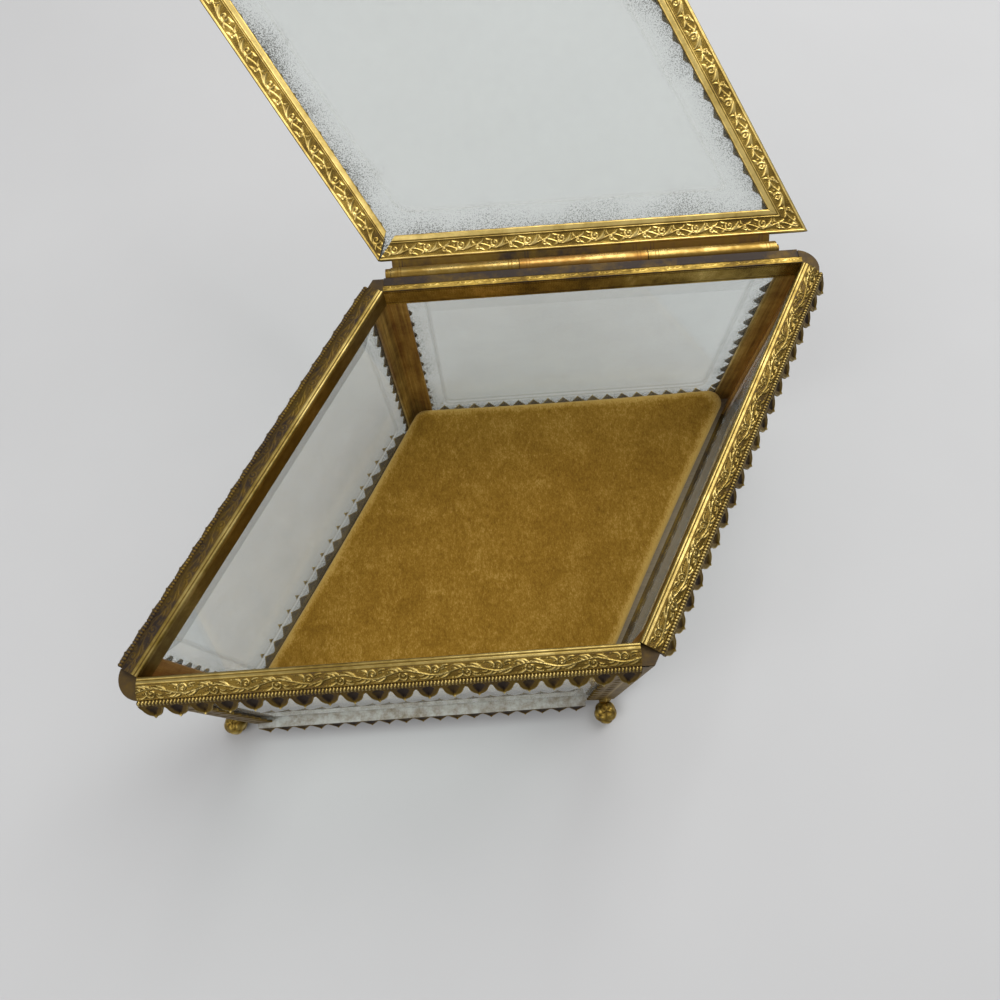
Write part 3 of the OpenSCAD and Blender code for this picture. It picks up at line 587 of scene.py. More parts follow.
def post_shell(corner, high):
    """An outer angle strip: its face runs from one toothed edge over the ridge, or round the
    nose, to the other toothed edge, and its back returns inside. Lines and a row of cups are
    pressed in beside the teeth."""
    acute = is_acute(corner)
    teeth_from, tooth_peak = 0.72, 0.36
    q = np.concatenate([np.linspace(0, teeth_from, 13), np.linspace(0.78, 1, 5)])
    z = np.linspace(BASE_TOP, high, int((high - BASE_TOP) / 0.16))[:, None]
    at = np.mod(z - BASE_TOP, TOOTH_PITCH) / TOOTH_PITCH
    whole = unit((np.floor((high - BASE_TOP) / TOOTH_PITCH) * TOOTH_PITCH + BASE_TOP - z) / 0.3)
    rise = np.where(at < tooth_peak, at / tooth_peak, np.abs((1 - at) / (1 - tooth_peak)) ** 1.2)
    teeth = (2.6 if acute else 1.9) * rise * whole
    stretch = unit((q - teeth_from) / (1 - teeth_from))
    free_way = np.array([-1.0 if acute else 1.0, 0])
    rows = []
    for out, is_face in ((POST_OUT, True), (POST_OUT - POST_THICK, False)):
        base, normal, w, full = half_face(acute, out, q / teeth_from)
        cup = unit(1 - ((w - full + 1.7) / 0.95) ** 2 - ((at - 0.5) * TOOTH_PITCH / 1.5) ** 2) ** 0.6
        lines = ridge_line(w, full - 3.1, 0.2) + ridge_line(w, full - 0.35, 0.2)
        lines = lines + 0.7 * ridge_line(w, 0.25, 0.3)
        vein = ridge_line(at, tooth_peak, 0.09) * stretch
        if is_face:
            lift = (0.14 * lines - 0.3 * cup + 0.1 * vein) * (1 - 0.45 * stretch)
            polish = np.clip(0.3 + 0.35 * lines - 0.3 * cup + 0.2 * vein, 0.02, 1)
        else:
            lift = 0.2 * stretch + 0 * z
            # The back of the strip, facing the glass corner, is darkened as painted shade.
            polish = 0.06 + 0 * lift
        rows.append((base + (teeth * stretch)[..., None] * free_way + lift[..., None] * normal, polish))
    (face, shine), (inside, back_shade) = rows
    xy = np.concatenate([other_wall(corner, face[:, ::-1]), face[:, 1:], inside[:, ::-1],
                         other_wall(corner, inside[:, 1:])], 1)
    finish = np.concatenate([shine[:, ::-1], shine[:, 1:], back_shade[:, ::-1], back_shade[:, 1:]], 1)
    return swept_shell(corner_to_box(corner, points_at(xy[..., 0], xy[..., 1], z)), finish)


def cap_shells(corner, low):
    """What closes the wedge between two square-cut rails: the strip's wall raised between their ends, round
    the nose at an acute corner and over the ridge at an obtuse one, and a plate on top of it."""
    top, back, tarnish = SEAT + SHEET, 0.05, 0.14
    outsets = (0, POST_THICK)
    if is_acute(corner):
        way = bearing(np.linspace(0, 2 * (np.pi / 2 - ANGLE / 2), 65))
        arcs = [nose_centre() + (NOSE_RADIUS - inset) * way for inset in outsets]
        edge, inside = (p[np.minimum(p[:, 0], other_wall(corner, p)[:, 0]) > back] for p in arcs)
        heart = [[back, back * np.tan(ANGLE / 2)]]
    else:
        ends = [np.array([[-back, POST_OUT - inset], [-obtuse_gain(POST_OUT - inset), POST_OUT - inset]])
                for inset in outsets]
        edge, inside = (np.vstack([p, other_wall(corner, p[:1])]) for p in ends)
        heart = [[-back, back / np.tan(ANGLE / 2)]]
    to_box = partial(corner_to_box, corner)
    return [prism_shell(to_box, np.vstack([edge, inside[::-1]]), low, top, tarnish),
            prism_shell(to_box, np.vstack([heart, edge]), SEAT + 0.05, top + 0.05, tarnish)]


# Base

def base_plate_shell(side):
    """A base strip's plate: inside edge, mitres, and an outer edge that follows the acute corner's nose."""
    gap, clear = 0.05, 0.4
    a = (np.pi / 2 - ANGLE / 2) * np.linspace(1, 0, 9)
    a[0] -= gap / NOSE_RADIUS
    nose = nose_centre() + NOSE_RADIUS * bearing(a) + [HALF, 0]
    acute_end = HALF + nose_centre()[0] - clear
    obtuse_end = -HALF + OBTUSE_LAP + TOOTH_HEIGHT + clear
    outline = np.vstack([
        [-HALF - obtuse_gain(-BASE_REACH) + gap, -BASE_REACH],
        [HALF + acute_gain(-BASE_REACH) - gap, -BASE_REACH],
        nose, [acute_end, POST_OUT], [acute_end, BASE_OUT], [obtuse_end, BASE_OUT], [obtuse_end, POST_OUT],
        [-HALF - obtuse_gain(POST_OUT) + gap, POST_OUT]])
    return prism_shell(partial(wall_to_box, side), outline, BASE_TOP - BASE_THICK, BASE_TOP, 0.2)


# Feet

def foot_shells(corner):
    """A ball foot, and the veined leaf that rises from it over the post. The ball's radius swings with petals
    round it and scales down it, and it is worn flat below. The leaf is a row of flattened half rounds, wide
    at its root and pointed on top, with a rib and veins on its front. Both stand against the post's face."""
    acute = is_acute(corner)

    def face_back(q):
        """How far the post's face falls back beside its middle: as the nose's circle does, or not at all."""
        return np.sqrt(np.maximum(NOSE_RADIUS ** 2 - q ** 2, 0)) - NOSE_RADIUS if acute else 0 * q

    clear, relief_depth = 0.02, 0.13
    polar = np.linspace(0, np.pi, 61)[:, None]
    around = np.linspace(0, 2 * np.pi, 96, endpoint=False)
    petal = np.abs(np.cos(2.5 * around + 0.9 * np.sin(3 * polar)))
    scale = np.abs(np.sin(5 * polar + 1.6 * np.cos(2.5 * around)))
    relief = (0.55 * petal + 0.45 * scale) * np.sin(polar) ** 0.5
    r = FOOT_RADIUS * (1 - relief_depth * (1 - relief))
    x, y = r * np.sin(polar) * np.cos(around), FOOT_RADIUS + r * np.sin(polar) * np.sin(around)
    z = np.maximum(FOOT_RADIUS - FOOT_WORN - r * np.cos(polar), 0)
    ball = points_at(x, np.maximum(y, face_back(x) + clear), z)

    root, tip, half_wide, deep = 2.6, 10.4, 1.7, 0.88
    t = np.linspace(0, 1, 46)[:, None]
    q = np.linspace(0, 2 * np.pi, 40, endpoint=False)
    wide = half_wide * np.sin(np.pi * (0.22 + 0.78 * t)) ** 0.6 * (1 + 0.07 * np.cos(26 * t))
    wide = np.maximum(wide, 0.001)
    s = np.cos(q)
    front = np.sin(q) > 0
    veins = np.abs(np.sin(9 * t + 2.2 * np.abs(s) * np.pi)) * (np.abs(s) > 0.2)
    rib = np.exp(-(s / 0.16) ** 2) + 0.35 * veins
    thick = deep * np.abs(np.sin(q)) ** 0.6 * unit((1.02 - t) * 6)
    leaf = points_at(wide * s, front * thick * (0.72 + 0.2 * rib) + face_back(wide * s) + clear,
                     root + (tip - root) * t)
    shells = ball_shell(ball, 0.25 + 0.6 * relief), swept_shell(leaf, np.where(front, 0.3 + 0.5 * rib, 0.2))

    def place(p):
        """Out along the long diagonal, or beside the ridge on the first wall."""
        if acute:
            away = (INRADIUS + nose_centre()[1]) / np.sin(ANGLE / 2) + NOSE_RADIUS
            turn = ANGLE / 2 + (np.pi if corner == 0 else 0) - np.pi / 2
            return points_at(*turned(p[:, 0], p[:, 1] + away, turn), p[:, 2])
        beside_ridge = 2.6
        shift = np.array([beside_ridge - HALF - obtuse_gain(POST_OUT), POST_OUT, 0])
        return wall_to_box(CORNER_SIDES[corner][0], p + shift)

    return [(place(p), *rest) for p, *rest in shells]


# Velvet pad

def pad_shell(sizes):
    """The pad: one rounded rhombus, drawn in at the middle of its sides, scaled ring by ring from the foot
    over a round shoulder, and closed by a crown that rises as one less a power of the scale."""
    inset, corner, draw, gap = 1.45, 4.0, 0.5, 0.3
    low, shoulder, soft = BOARD_TOP + gap, BASE_TOP + 13, 1.6
    out = INRADIUS - inset - corner
    arcs, corners = [], ((out / np.sin(ANGLE / 2), np.pi - ANGLE), (out / np.cos(ANGLE / 2), ANGLE))
    for quarter in range(4):
        heading = 3 * np.pi / 2 - ANGLE / 2 - quarter * np.pi / 2
        reach, swing = corners[quarter % 2]
        arcs.append(reach * bearing(heading) + corner * bearing(heading - swing * np.linspace(-0.5, 0.5, 15)))
    outline = []
    for arc, following in zip(arcs, arcs[1:] + arcs[:1]):
        p, q = arc[-1], following[0]
        t = np.linspace(0, 1, 47)[1:-1, None]
        inward = np.array([-(q - p)[1], (q - p)[0]]) / np.linalg.norm(q - p)
        outline += [arc, p + (q - p) * t + inward * draw * np.sin(np.pi * t)]
    outline = np.vstack(outline)
    a = np.linspace(0, np.pi / 2, 10)[1:]
    side_z = np.linspace(low, shoulder - soft, 9)
    side_scale = 1 - 0.8 / INRADIUS * unit(1 - (side_z - low) / 3) ** 2
    scales = np.concatenate([[0.0, 0.5], side_scale, 1 - soft * (1 - np.cos(a)) / INRADIUS])
    crown = np.linspace(scales[-1], 0, 60)[1:]
    welt = 0.25
    rise = sizes.pad_crown / MM * (1 - crown ** 2.4) + welt * np.exp(-((1 - crown) / 0.03) ** 2)
    heights = np.concatenate([[low, low], side_z, shoulder - soft * (1 - np.sin(a)), shoulder - welt + rise])
    scales = np.concatenate([scales, crown])[:, None]
    x, y = np.moveaxis(outline * scales[..., None], -1, 0)
    dimple = 0.10 * np.sin(x / 9.1 + 1.1) * np.sin(y / 7.3) + 0.07 * np.sin(x / 4.7 - y / 5.9)
    on_crown = unit((np.arange(len(scales)) - 20) / 6)[:, None] * unit(1 - scales ** 8)
    # The finish rises to 1 down the shoulder and sides, which the velvet shows paler as painted sheen.
    return ball_shell(points_at(x, y, heights[:, None] + dimple * on_crown), unit((scales - 0.93) / 0.06))


# Node trees

class Value:
    """A number, colour or shader in a node tree. Sums, differences and products of numbers become nodes."""

    def __init__(self, graph, socket):
        """Keeps the tree and the node's output."""
        self.graph, self.socket = graph, socket

    def math(self, operation, other=0.0, third=0.0, clamp=False):
        """The result of a math node, with one or two other numbers."""
        return self.graph.add("Math", {0: self, 1: other, 2: third}, operation=operation, use_clamp=clamp)

    def __add__(self, other):
        """The sum."""
        return self.math("ADD", other)

    def __sub__(self, other):
        """The difference."""
        return self.math("SUBTRACT", other)

    def __mul__(self, other):
        """The product."""
        return self.math("MULTIPLY", other)

    def beside(self, name):
        """Another output of the same node."""
        return Value(self.graph, self.socket.node.outputs[name])

    def spread(self, low, high, out_low, out_high):
        """The number moved from one range to another, clamped."""
        return self.graph.add("MapRange", {0: self, 1: low, 2: high, 3: out_low, 4: out_high})

    def ramp(self, *stops):
        """A colour ramp through (place, colour) stops."""
        made = self.graph.add("ValToRGB", {0: self})
        elements = made.socket.node.color_ramp.elements
        while len(elements) < len(stops):
            elements.new(0.5)
        for element, (place, colour) in zip(elements, stops):
            element.position = place
            element.color = (*colour, 1)
        return made


class Graph:
    """The node tree of a material or a world, emptied, with the coordinates it is looked up by."""

    def __init__(self, owner, coordinates="Object"):
        """Empties the owner's tree."""
        owner.use_nodes = True
        self.owner, self.tree = owner, owner.node_tree
        self.tree.nodes.clear()
        self.where = self.add("TexCoord", out=coordinates)

    def add(self, kind, inputs=None, out=0, **settings):
        """Makes a node with its settings and its inputs set or linked, and gives one of its outputs."""
        node = self.tree.nodes.new("ShaderNode" + kind)
        for key, value in settings.items():
            setattr(node, key, value)
        for key, value in (inputs or {}).items():
            if isinstance(value, Value):
                self.tree.links.new(value.socket, node.inputs[key])
            else:
                node.inputs[key].default_value = value
        return Value(self, node.outputs[out])

    def finished(self, shader, kind="Material"):
        """Puts a shader on the surface of the material or world, and gives it back."""
        output = self.tree.nodes.new("ShaderNodeOutput" + kind)
        self.tree.links.new(shader.socket, output.inputs[0])
        return self.owner

    def stretched(self, *scale):
        """The coordinates scaled along each axis: a texture is drawn out along the axis of a small scale."""
        return self.add("Mapping", {"Vector": self.where, "Scale": scale})

    def noise(self, scale, detail=4.0, rough=0.55, at=None, lean=0.0):
        """A noise from 0 to 1 on the coordinates, or on others."""
        return self.add("TexNoise", {"Vector": at or self.where, "Scale": scale, "Detail": detail,
                                     "Roughness": rough, "Distortion": lean}, "Fac")

    def polish(self):
        """The finish that every point of a piece carries."""
        return self.add("Attribute", out="Fac", attribute_name="polish")

    def mix(self, share, first, second):
        """A blend of two colours."""
        return self.add("Mix", {0: share, 6: first, 7: second}, 2, data_type="RGBA")

    def blend(self, share, first, second):
        """A blend of two shaders."""
        return self.add("MixShader", {0: share, 1: first, 2: second})

    def bump(self, height, strength, distance):
        """A normal bent by a height."""
        return self.add("Bump", {"Height": height, "Strength": strength, "Distance": distance})

    def surface(self, colour, rough, others=None):
        """The standard shader."""
        return self.add("BsdfPrincipled", {"Base Color": colour, "Roughness": rough, **(others or {})})


def new_graph(name):
    """The node tree of a new material."""
    return Graph(bpy.data.materials.new(name))


# Materials

def hinge_wear_and_shade(graph):
    """How much duller the hinge is than its rubbed crown: by the distance from the axis beyond the barrel, so
    that the leaves are brown, by the depth below the crown, which is painted shade on the barrel's lower
    half, and in two rings near each end of a knuckle."""
    barrel, rim = 0.00213, 0.0022
    along = graph.add("SeparateXYZ", {0: graph.where})
    out, up = along.beside("Y") - HINGE[1] * MM, along.beside("Z") - HINGE[2] * MM
    away = (up * up + out * out).math("SQRT")
    leaf_wear = away.spread(barrel, rim, 0, 0.55)
    # The barrel's lower half is darkened as painted shade.
    lower_half_shade = up.spread(0.0010, 0.0021, 0.6, 0) * away.spread(barrel, rim, 1, 0)
    knuckle_half, first_end, ring_half, ring_wear = 0.0165, 0.02465, 0.00012, 0.25
    from_end = (along + first_end).math("PINGPONG", knuckle_half)
    outer_ring, inner_ring = (from_end.math("COMPARE", place, ring_half) for place in (0.0019, 0.0027))
    return leaf_wear + lower_half_shade + (outer_ring + inner_ring) * ring_wear


def brass(name, finish, tone=1.0, polish=None, streaks=(340, 0.3), stretch=None, grime=0.5, red=0.0,
          bump=0.25, metal=1.0, hinge=False):
    """Old gilt brass. The finish of each point, or a streaky noise about a fixed polish, less patches and
    specks of grime, runs through a ramp from black-brown recess over brown to gilt and rubbed gold, both
    times the tone. The recess is rougher and less metallic. Streaks are a noise's scale and depth, stretch
    draws the fine grain out along one direction as brushing does, red is how far copper shows in patches,
    metal the most metallic share, and hinge adds the wear of a barrel and its leaves and painted shade on
    the barrel's lower half."""
    graph = new_graph(name)
    grain_at = graph.stretched(*stretch) if stretch else graph.where
    patches, specks = graph.noise(95, 5, 0.65), graph.noise(620, 4, 0.6)
    grain = graph.noise(2400, 3, 0.6, grain_at)
    if polish is None:
        level = graph.polish()
    else:
        scale, depth = streaks
        level = graph.noise(scale, 5, 0.7, grain_at) * depth + (polish - depth / 2)
    dirt_and_shade = (patches.spread(0.3, 0.75, 0, 1) - 0.45) * grime + (specks - 0.5) * (0.7 * grime)
    # On the hinge this also takes in painted shade on the barrel's lower half.
    if hinge:
        dirt_and_shade = dirt_and_shade + hinge_wear_and_shade(graph)
    level = level.math("SUBTRACT", dirt_and_shade, clamp=True)
    gilt, rubbed = (np.minimum(1, tone * np.array(colour)) for colour in (finish.gilt, finish.rubbed))
    colour = level.ramp((0.0, finish.patina), (0.3, finish.brown), (0.62, gilt), (0.95, rubbed))
    if red:
        copper = graph.noise(130, 4, at=grain_at).spread(0.36, 0.66, 0, red)
        colour = graph.mix(copper, colour, (*finish.copper, 1))
    rough = level.spread(0.1, 0.95, 0.55, 0.24 - 0.1 * hinge) + grain * 0.14
    pits = graph.bump(grain * 0.5 + specks * 0.9, bump, 0.00012)
    return graph.finished(graph.surface(
        colour, rough, {"Metallic": level.spread(0.0, 0.4, 0.45 * metal, metal), "Normal": pits}))


def dusty_brass(name, finish):
    """Flat brass under settled dust: the dust's pale grey, and brown metal where a noise runs low."""
    graph = new_graph(name)
    bare = graph.noise(420, 5, 0.7).spread(0.30, 0.62, 0.75, 0)
    colour = graph.mix(bare, (*[0.7 * c for c in finish.dust], 1), (*finish.brown, 1))
    pits = graph.bump(graph.noise(2600, 3), 0.3, 0.0001)
    return graph.finished(graph.surface(colour, 0.7, {"Metallic": bare * 0.6, "Normal": pits}))


def wall_distances(side):
    """For a wall pane: unit directions and offsets. A point's part along a direction, less its offset, is its
    distance in metres from the pane's foot, or from one of its two ends."""
    a, b = wall_to_box(side, np.array([[HALF + 1.0, 0, 0], [-HALF - 1.0, 0, 0]])) * MM
    along = (b - a) / np.linalg.norm(b - a)
    return [((0, 0, 1), BASE_TOP * MM), (tuple(along), float(a @ along)), (tuple(-along), float(-b @ along))]


def lid_distances():
    """For the lid pane: the same from its four edges, turned back with the lid."""
    rows = []
    for side in range(4):
        start, end = lid_to_box(wall_to_box(side, np.array([[0, 2.4, RIM_TOP], [0, 1.4, RIM_TOP]]))) * MM
        way = (end - start) / np.linalg.norm(end - start)
        rows.append((tuple(way), float(start @ way)))
    return rows


def glass(name, finish, edges, dust):
    """Bevelled glass, faintly green, that lets the lamps through, under a film of old dust. The film is thin
    and blotchy, with dark specks: a fine noise that is lifted near the edges and then cut at one level. A
    pale line where the bevel starts is a painted highlight."""
    graph = new_graph(name)
    edge = None
    for way, offset in edges:
        far = graph.add("VectorMath", {0: graph.where, 1: way}, "Value", operation="DOT_PRODUCT") - offset
        edge = edge.math("SMOOTH_MIN", far, 0.004) if edge else far
    haze = (edge + (graph.noise(70, 3) - 0.5) * 0.014).spread(0.001, 0.012, 1, 0)
    specks = (graph.noise(3000, 2, 0.8) + haze * 0.15).spread(0.625, 0.64, 0, 1)
    # A pale line where the bevel starts: a painted highlight.
    bevel_highlight = edge.spread(0.0103, 0.0108, 0, 1) * edge.spread(0.0108, 0.0118, 0.3, 0)
    smear = graph.noise(38, 4, 0.6) * 0.30 + bevel_highlight
    cover = (specks * (haze + 0.04) * 0.8).math("ADD", smear * dust, clamp=True)
    clear = graph.surface((*finish.glass, 1), 0.0, {"Transmission Weight": 1.0, "IOR": 1.5})
    film = graph.surface(graph.mix(specks, (*finish.dust, 1), (*finish.grit, 1)), 0.9)
    path = graph.add("LightPath")
    lamp_light = path.beside("Is Shadow Ray").math("MAXIMUM", path.beside("Is Diffuse Ray"))
    let = graph.add("BsdfTransparent", {"Color": (0.93, 0.96, 0.95, 1)})
    return graph.finished(graph.blend(lamp_light, graph.blend(cover, clear, film), let))


def velvet(name, finish):
    """Worn cotton velvet: brushed patches of nap, dark and pale blots, a fine pile and a pale edge that is
    painted sheen.
    """
    graph = new_graph(name)
    patches = graph.noise(90, 6, 0.72, lean=0.4)
    blots = graph.noise(1100, 4, 0.75, graph.stretched(1, 0.5, 1))
    pile = graph.noise(3300, 3, 0.7, graph.stretched(1, 0.45, 1))
    # The pad's finish makes its shoulder and sides paler: painted sheen.
    level = patches * 0.42 + blots * 0.5 + (pile - 0.5) * 0.55 + graph.polish() * 0.3
    colour = level.ramp((0.28, finish.velvet_dark), (0.48, finish.velvet), (0.7, finish.velvet_pale))
    nap = graph.bump(pile * 0.6 + patches * 0.5, 0.5, 0.0004)
    return graph.finished(graph.surface(colour, 0.95, {
        "Sheen Weight": 0.3, "Sheen Roughness": 0.45, "Sheen Tint": (0.95, 0.72, 0.42, 1),
        "Specular IOR Level": 0.15, "Normal": nap}))


def board(name, finish):
    """Grey-brown pasteboard with long fibres."""
    graph = new_graph(name)
    fibre = graph.noise(300, 5, 0.7, graph.stretched(1, 6, 1))
    colour = (fibre * 0.6 + graph.noise(60, 4) * 0.4).ramp((0.3, finish.board_dark), (0.7, finish.board))
    return graph.finished(graph.surface(colour, 0.9, {"Normal": graph.bump(fibre, 0.4, 0.0002)}))


BACKDROP = (0.58, 0.58, 0.58, 1)


def shown_rays(graph):
    """One for what the camera sees, straight or through glass, and none for light on the object."""
    path = graph.add("LightPath")
    return path.beside("Is Camera Ray").math("MAXIMUM", path.beside("Is Transmission Ray"))


def tabletop(name, colour):
    """Plain pale matt tabletop with a faint unevenness, which fades into the backdrop far from the box."""
    graph = new_graph(name)
    tint = graph.noise(12, 3).ramp((0.3, [0.97 * c for c in colour]), (0.7, colour))
    matt = graph.surface(tint, 0.85, {"Specular IOR Level": 0.2})
    away = graph.add("VectorMath", {0: graph.where}, "Value", operation="LENGTH")
    far = away.spread(0.3, 1.0, 0, 1) * shown_rays(graph)
    return graph.finished(graph.blend(far, matt, graph.add("Emission", {"Color": BACKDROP})))


# Settings that a user would change

def colour_setting(name, description, default):
    """A colour property."""
    return bpy.props.FloatVectorProperty(name=name, description=description, default=default, size=3,
                                         subtype="COLOR", min=0, max=1)


def number_setting(name, description, default, **kind):
    """A number property."""
    return bpy.props.FloatProperty(name=name, description=description, default=default, **kind)


def length_setting(name, description, default):
    """A length property, in metres."""
    return number_setting(name, description, default, unit="LENGTH", min=0, precision=5)


class CasketSizes(bpy.types.PropertyGroup):
    """Sizes of the stamped ornament and the pad."""

    fillet_width: length_setting("Fillet width", "Width of the double-lined fillet beside the lip", 0.0017)
    band_width: length_setting("Band width", "Width of the scroll band of a rim rail", 0.003)
    bead_radius: length_setting("Bead radius", "Radius of the milled bead", 0.00065)
    mill_pitch: length_setting("Mill pitch", "Distance between two marks of the milled bead", 0.00075)
    rim_scroll_length: length_setting("Rim scroll repeat", "Repeat of the scroll on the rim", 0.013125)
    lid_scroll_length: length_setting("Lid scroll repeat", "Repeat of the scroll on the lid", 0.00875)
    scroll_depth: length_setting("Scroll depth", "Depth of the stamped ground below the crests", 0.00028)
    cup_depth: length_setting("Cup depth", "Depth of the cup in a gallery lobe", 0.0005)
    pad_crown: length_setting("Pad crown", "Rise of the pad's middle above its shoulder", 0.001)


class CasketFinish(bpy.types.PropertyGroup):
    """Colours of the metal, the glass and the cloth."""

    rubbed: colour_setting("Rubbed gilt", "Crests and edges rubbed bright", (0.84, 0.63, 0.22))
    gilt: colour_setting("Gilt", "Old gilding", (0.40, 0.27, 0.06))
    brown: colour_setting("Brown", "Gilding gone brown", (0.13, 0.078, 0.014))
    patina: colour_setting("Patina", "Recesses", (0.022, 0.012, 0.006))
    copper: colour_setting("Copper", "Reddish metal that shows in patches", (0.36, 0.13, 0.03))
    glass: colour_setting("Glass", "Tint of the panes", (0.93, 0.965, 0.95))
    dust: colour_setting("Dust", "Old dust on the panes and the ledges", (0.60, 0.61, 0.57))
    grit: colour_setting("Grit", "Dark specks in the dust", (0.07, 0.07, 0.055))
    velvet: colour_setting("Velvet", "Nap of the pad", (0.225, 0.118, 0.011))
    velvet_dark: colour_setting("Velvet, dark", "Nap brushed dark", (0.125, 0.058, 0.003))
    velvet_pale: colour_setting("Velvet, pale", "Nap brushed pale", (0.400, 0.250, 0.060))
    board: colour_setting("Board", "Pasteboard under the pad", (0.30, 0.24, 0.16))
    board_dark: colour_setting("Board, dark", "Fibres of the pasteboard", (0.17, 0.13, 0.08))


class CasketStudio(bpy.types.PropertyGroup):
    """The tabletop, the lamps and the camera."""

    floor: colour_setting("Tabletop", "Colour of the tabletop", (0.510, 0.510, 0.510))
    key: number_setting("Key lamp", "Power of the large soft lamp", 12.0, min=0, unit="POWER")
    fill: number_setting("Fill lamp", "Power of the weaker lamp", 4.0, min=0, unit="POWER")
    lens: number_setting("Lens", "Focal length on a 36 mm sensor", 27.04, min=1, unit="CAMERA")
    eye: bpy.props.FloatVectorProperty(name="Eye", description="Place of the camera", size=3, subtype="XYZ",
                                       unit="LENGTH", default=(-0.00055, -0.06967, 0.2386))
    down: number_setting("Look down", "Angle of the view below level", 1.21946, subtype="ANGLE")
    heading: number_setting("Heading", "Angle of the view to the right of +Y", -0.00314, subtype="ANGLE")
    roll: number_setting("Roll", "Tilt of the picture's right edge above level", -0.02513, subtype="ANGLE")


# Operators

def settings():
    """The three groups of settings."""
    scene = bpy.context.scene
    return scene.casket_sizes, scene.casket_finish, scene.casket_studio


class CASKET_OT_rim(bpy.types.Operator):
    """Builds the three stamped rim rails with bead and gallery, and the plain rear rail"""

    bl_idname = "casket.rim"
    bl_label = "Rim Rails"

    def execute(self, context):
        """Makes one piece for each rail."""
        sizes, finish, _ = settings()
        metals = brass("gilt brass", finish, tone=0.5), brass("tarnished gilt", finish, tone=0.55)
        slope, radius, cup = np.radians(58), sizes.bead_radius / MM, sizes.cup_depth / MM
        out = (sizes.fillet_width + sizes.band_width) / MM + 1.1 * radius
        height = RIM_TOP - BAND_FALL - 1.2 * radius
        for side, tarnish in ((FRONT, 0.27), (RIGHT, 0.38), (LEFT, 0.12)):
            gallery = lobed_shell(side, GALLERY_LOBE, out, height, slope, -HALF, HALF, cup, tarnish)
            make_piece("rim_" + SIDE_NAMES[side], [rail_shell(side, sizes), bead_shell(side, sizes), gallery],
                       metals[side == LEFT], "rim_rail_" + SIDE_NAMES[side])
        make_piece("rim_back", [rear_rail_shell(sizes)], brass("rear rail brass", finish),
                   "rim_rail_back", sharp=35)
        return {"FINISHED"}


class CASKET_OT_lid(bpy.types.Operator):
    """Builds the four stamped lid bars and dresses the lid's pane"""

    bl_idname = "casket.lid"
    bl_label = "Lid"

    def execute(self, context):
        """Makes one piece for each bar."""
        sizes, finish, _ = settings()
        metal = brass("lid brass", finish, grime=0.45)
        for side, name in enumerate(SIDE_NAMES):
            make_piece("lid_" + name, [lid_bar_shell(side, sizes)], metal, "lid_bar_" + name,
                       body="lid")
        dress("lid_pane", glass("lid glass", finish, lid_distances(), 0.6))
        return {"FINISHED"}


class CASKET_OT_posts(bpy.types.Operator):
    """Builds the toothed outer angle strips and dresses the inner ones"""

    bl_idname = "casket.posts"
    bl_label = "Corner Posts"

    def execute(self, context):
        """Makes one piece for each corner. The rear posts end below the hinge's shelf."""
        _, finish, _ = settings()
        metal = brass("post brass", finish, tone=0.7, grime=0.3)
        brushed = brass("brushed brass", finish, tone=1.25, polish=0.5, streaks=(1100, 1.0),
                        stretch=(1, 1, 0.03), grime=0.35, red=0.6, bump=0.7, metal=0.5)
        for corner, letter in enumerate(CORNER_NAMES):
            high = SHELF_LOW - 0.05 if BACK in CORNER_SIDES[corner] else SEAT
            make_piece("post_" + letter, [post_shell(corner, high), *cap_shells(corner, high - SHEET)], metal,
                       "outer_post_" + letter)
            dress("inner_post_" + letter, brushed)
        return {"FINISHED"}


class CASKET_OT_base(bpy.types.Operator):
    """Builds the base strips with their fringe of leaves, and dresses the floor board"""

    bl_idname = "casket.base"
    bl_label = "Base"

    def execute(self, context):
        """Makes a fringe and a plate for each strip. Dust lies on the plate in front."""
        _, finish, _ = settings()
        metal, dusty = brass("base brass", finish, tone=0.7, grime=0.4), dusty_brass("dusty brass", finish)
        past_corner, before_nose = 5.9, 0.5
        low, high = past_corner - HALF, HALF + nose_centre()[0] - before_nose
        out, height, cup, tarnish = 5.85, BASE_TOP - 0.5, 0.25, 0.1
        for side, name in enumerate(SIDE_NAMES):
            slope = np.radians(76 if side == FRONT else 16)
            fringe = lobed_shell(side, FRINGE_LOBE, out, height, slope, low, high, cup, tarnish)
            make_piece("base_fringe_" + name, [fringe], metal, "base_strip_" + name)
            make_piece("base_plate_" + name, [base_plate_shell(side)], dusty if side == FRONT else metal,
                       "base_strip_" + name)
        dress("floor_board", board("pasteboard", finish))
        return {"FINISHED"}


class CASKET_OT_feet(bpy.types.Operator):
    """Builds the four ball feet with their leaves"""

    bl_idname = "casket.feet"
    bl_label = "Ball Feet"

    def execute(self, context):
        """Makes one piece for each foot."""
        _, finish, _ = settings()
        metal = brass("foot brass", finish, tone=0.85, grime=0.45)
        for corner, letter in enumerate(CORNER_NAMES):
            make_piece("ball_foot_" + letter, foot_shells(corner), metal, "foot_" + letter)
        return {"FINISHED"}


class CASKET_OT_pad(bpy.types.Operator):
    """Builds the velvet pad"""

    bl_idname = "casket.pad"
    bl_label = "Velvet Pad"

    def execute(self, context):
        sizes, finish, _ = settings()
        pad = make_piece("pad", [pad_shell(sizes)], velvet("velvet", finish), "velvet_pad",
                         sharp=180)
        return {"FINISHED"}


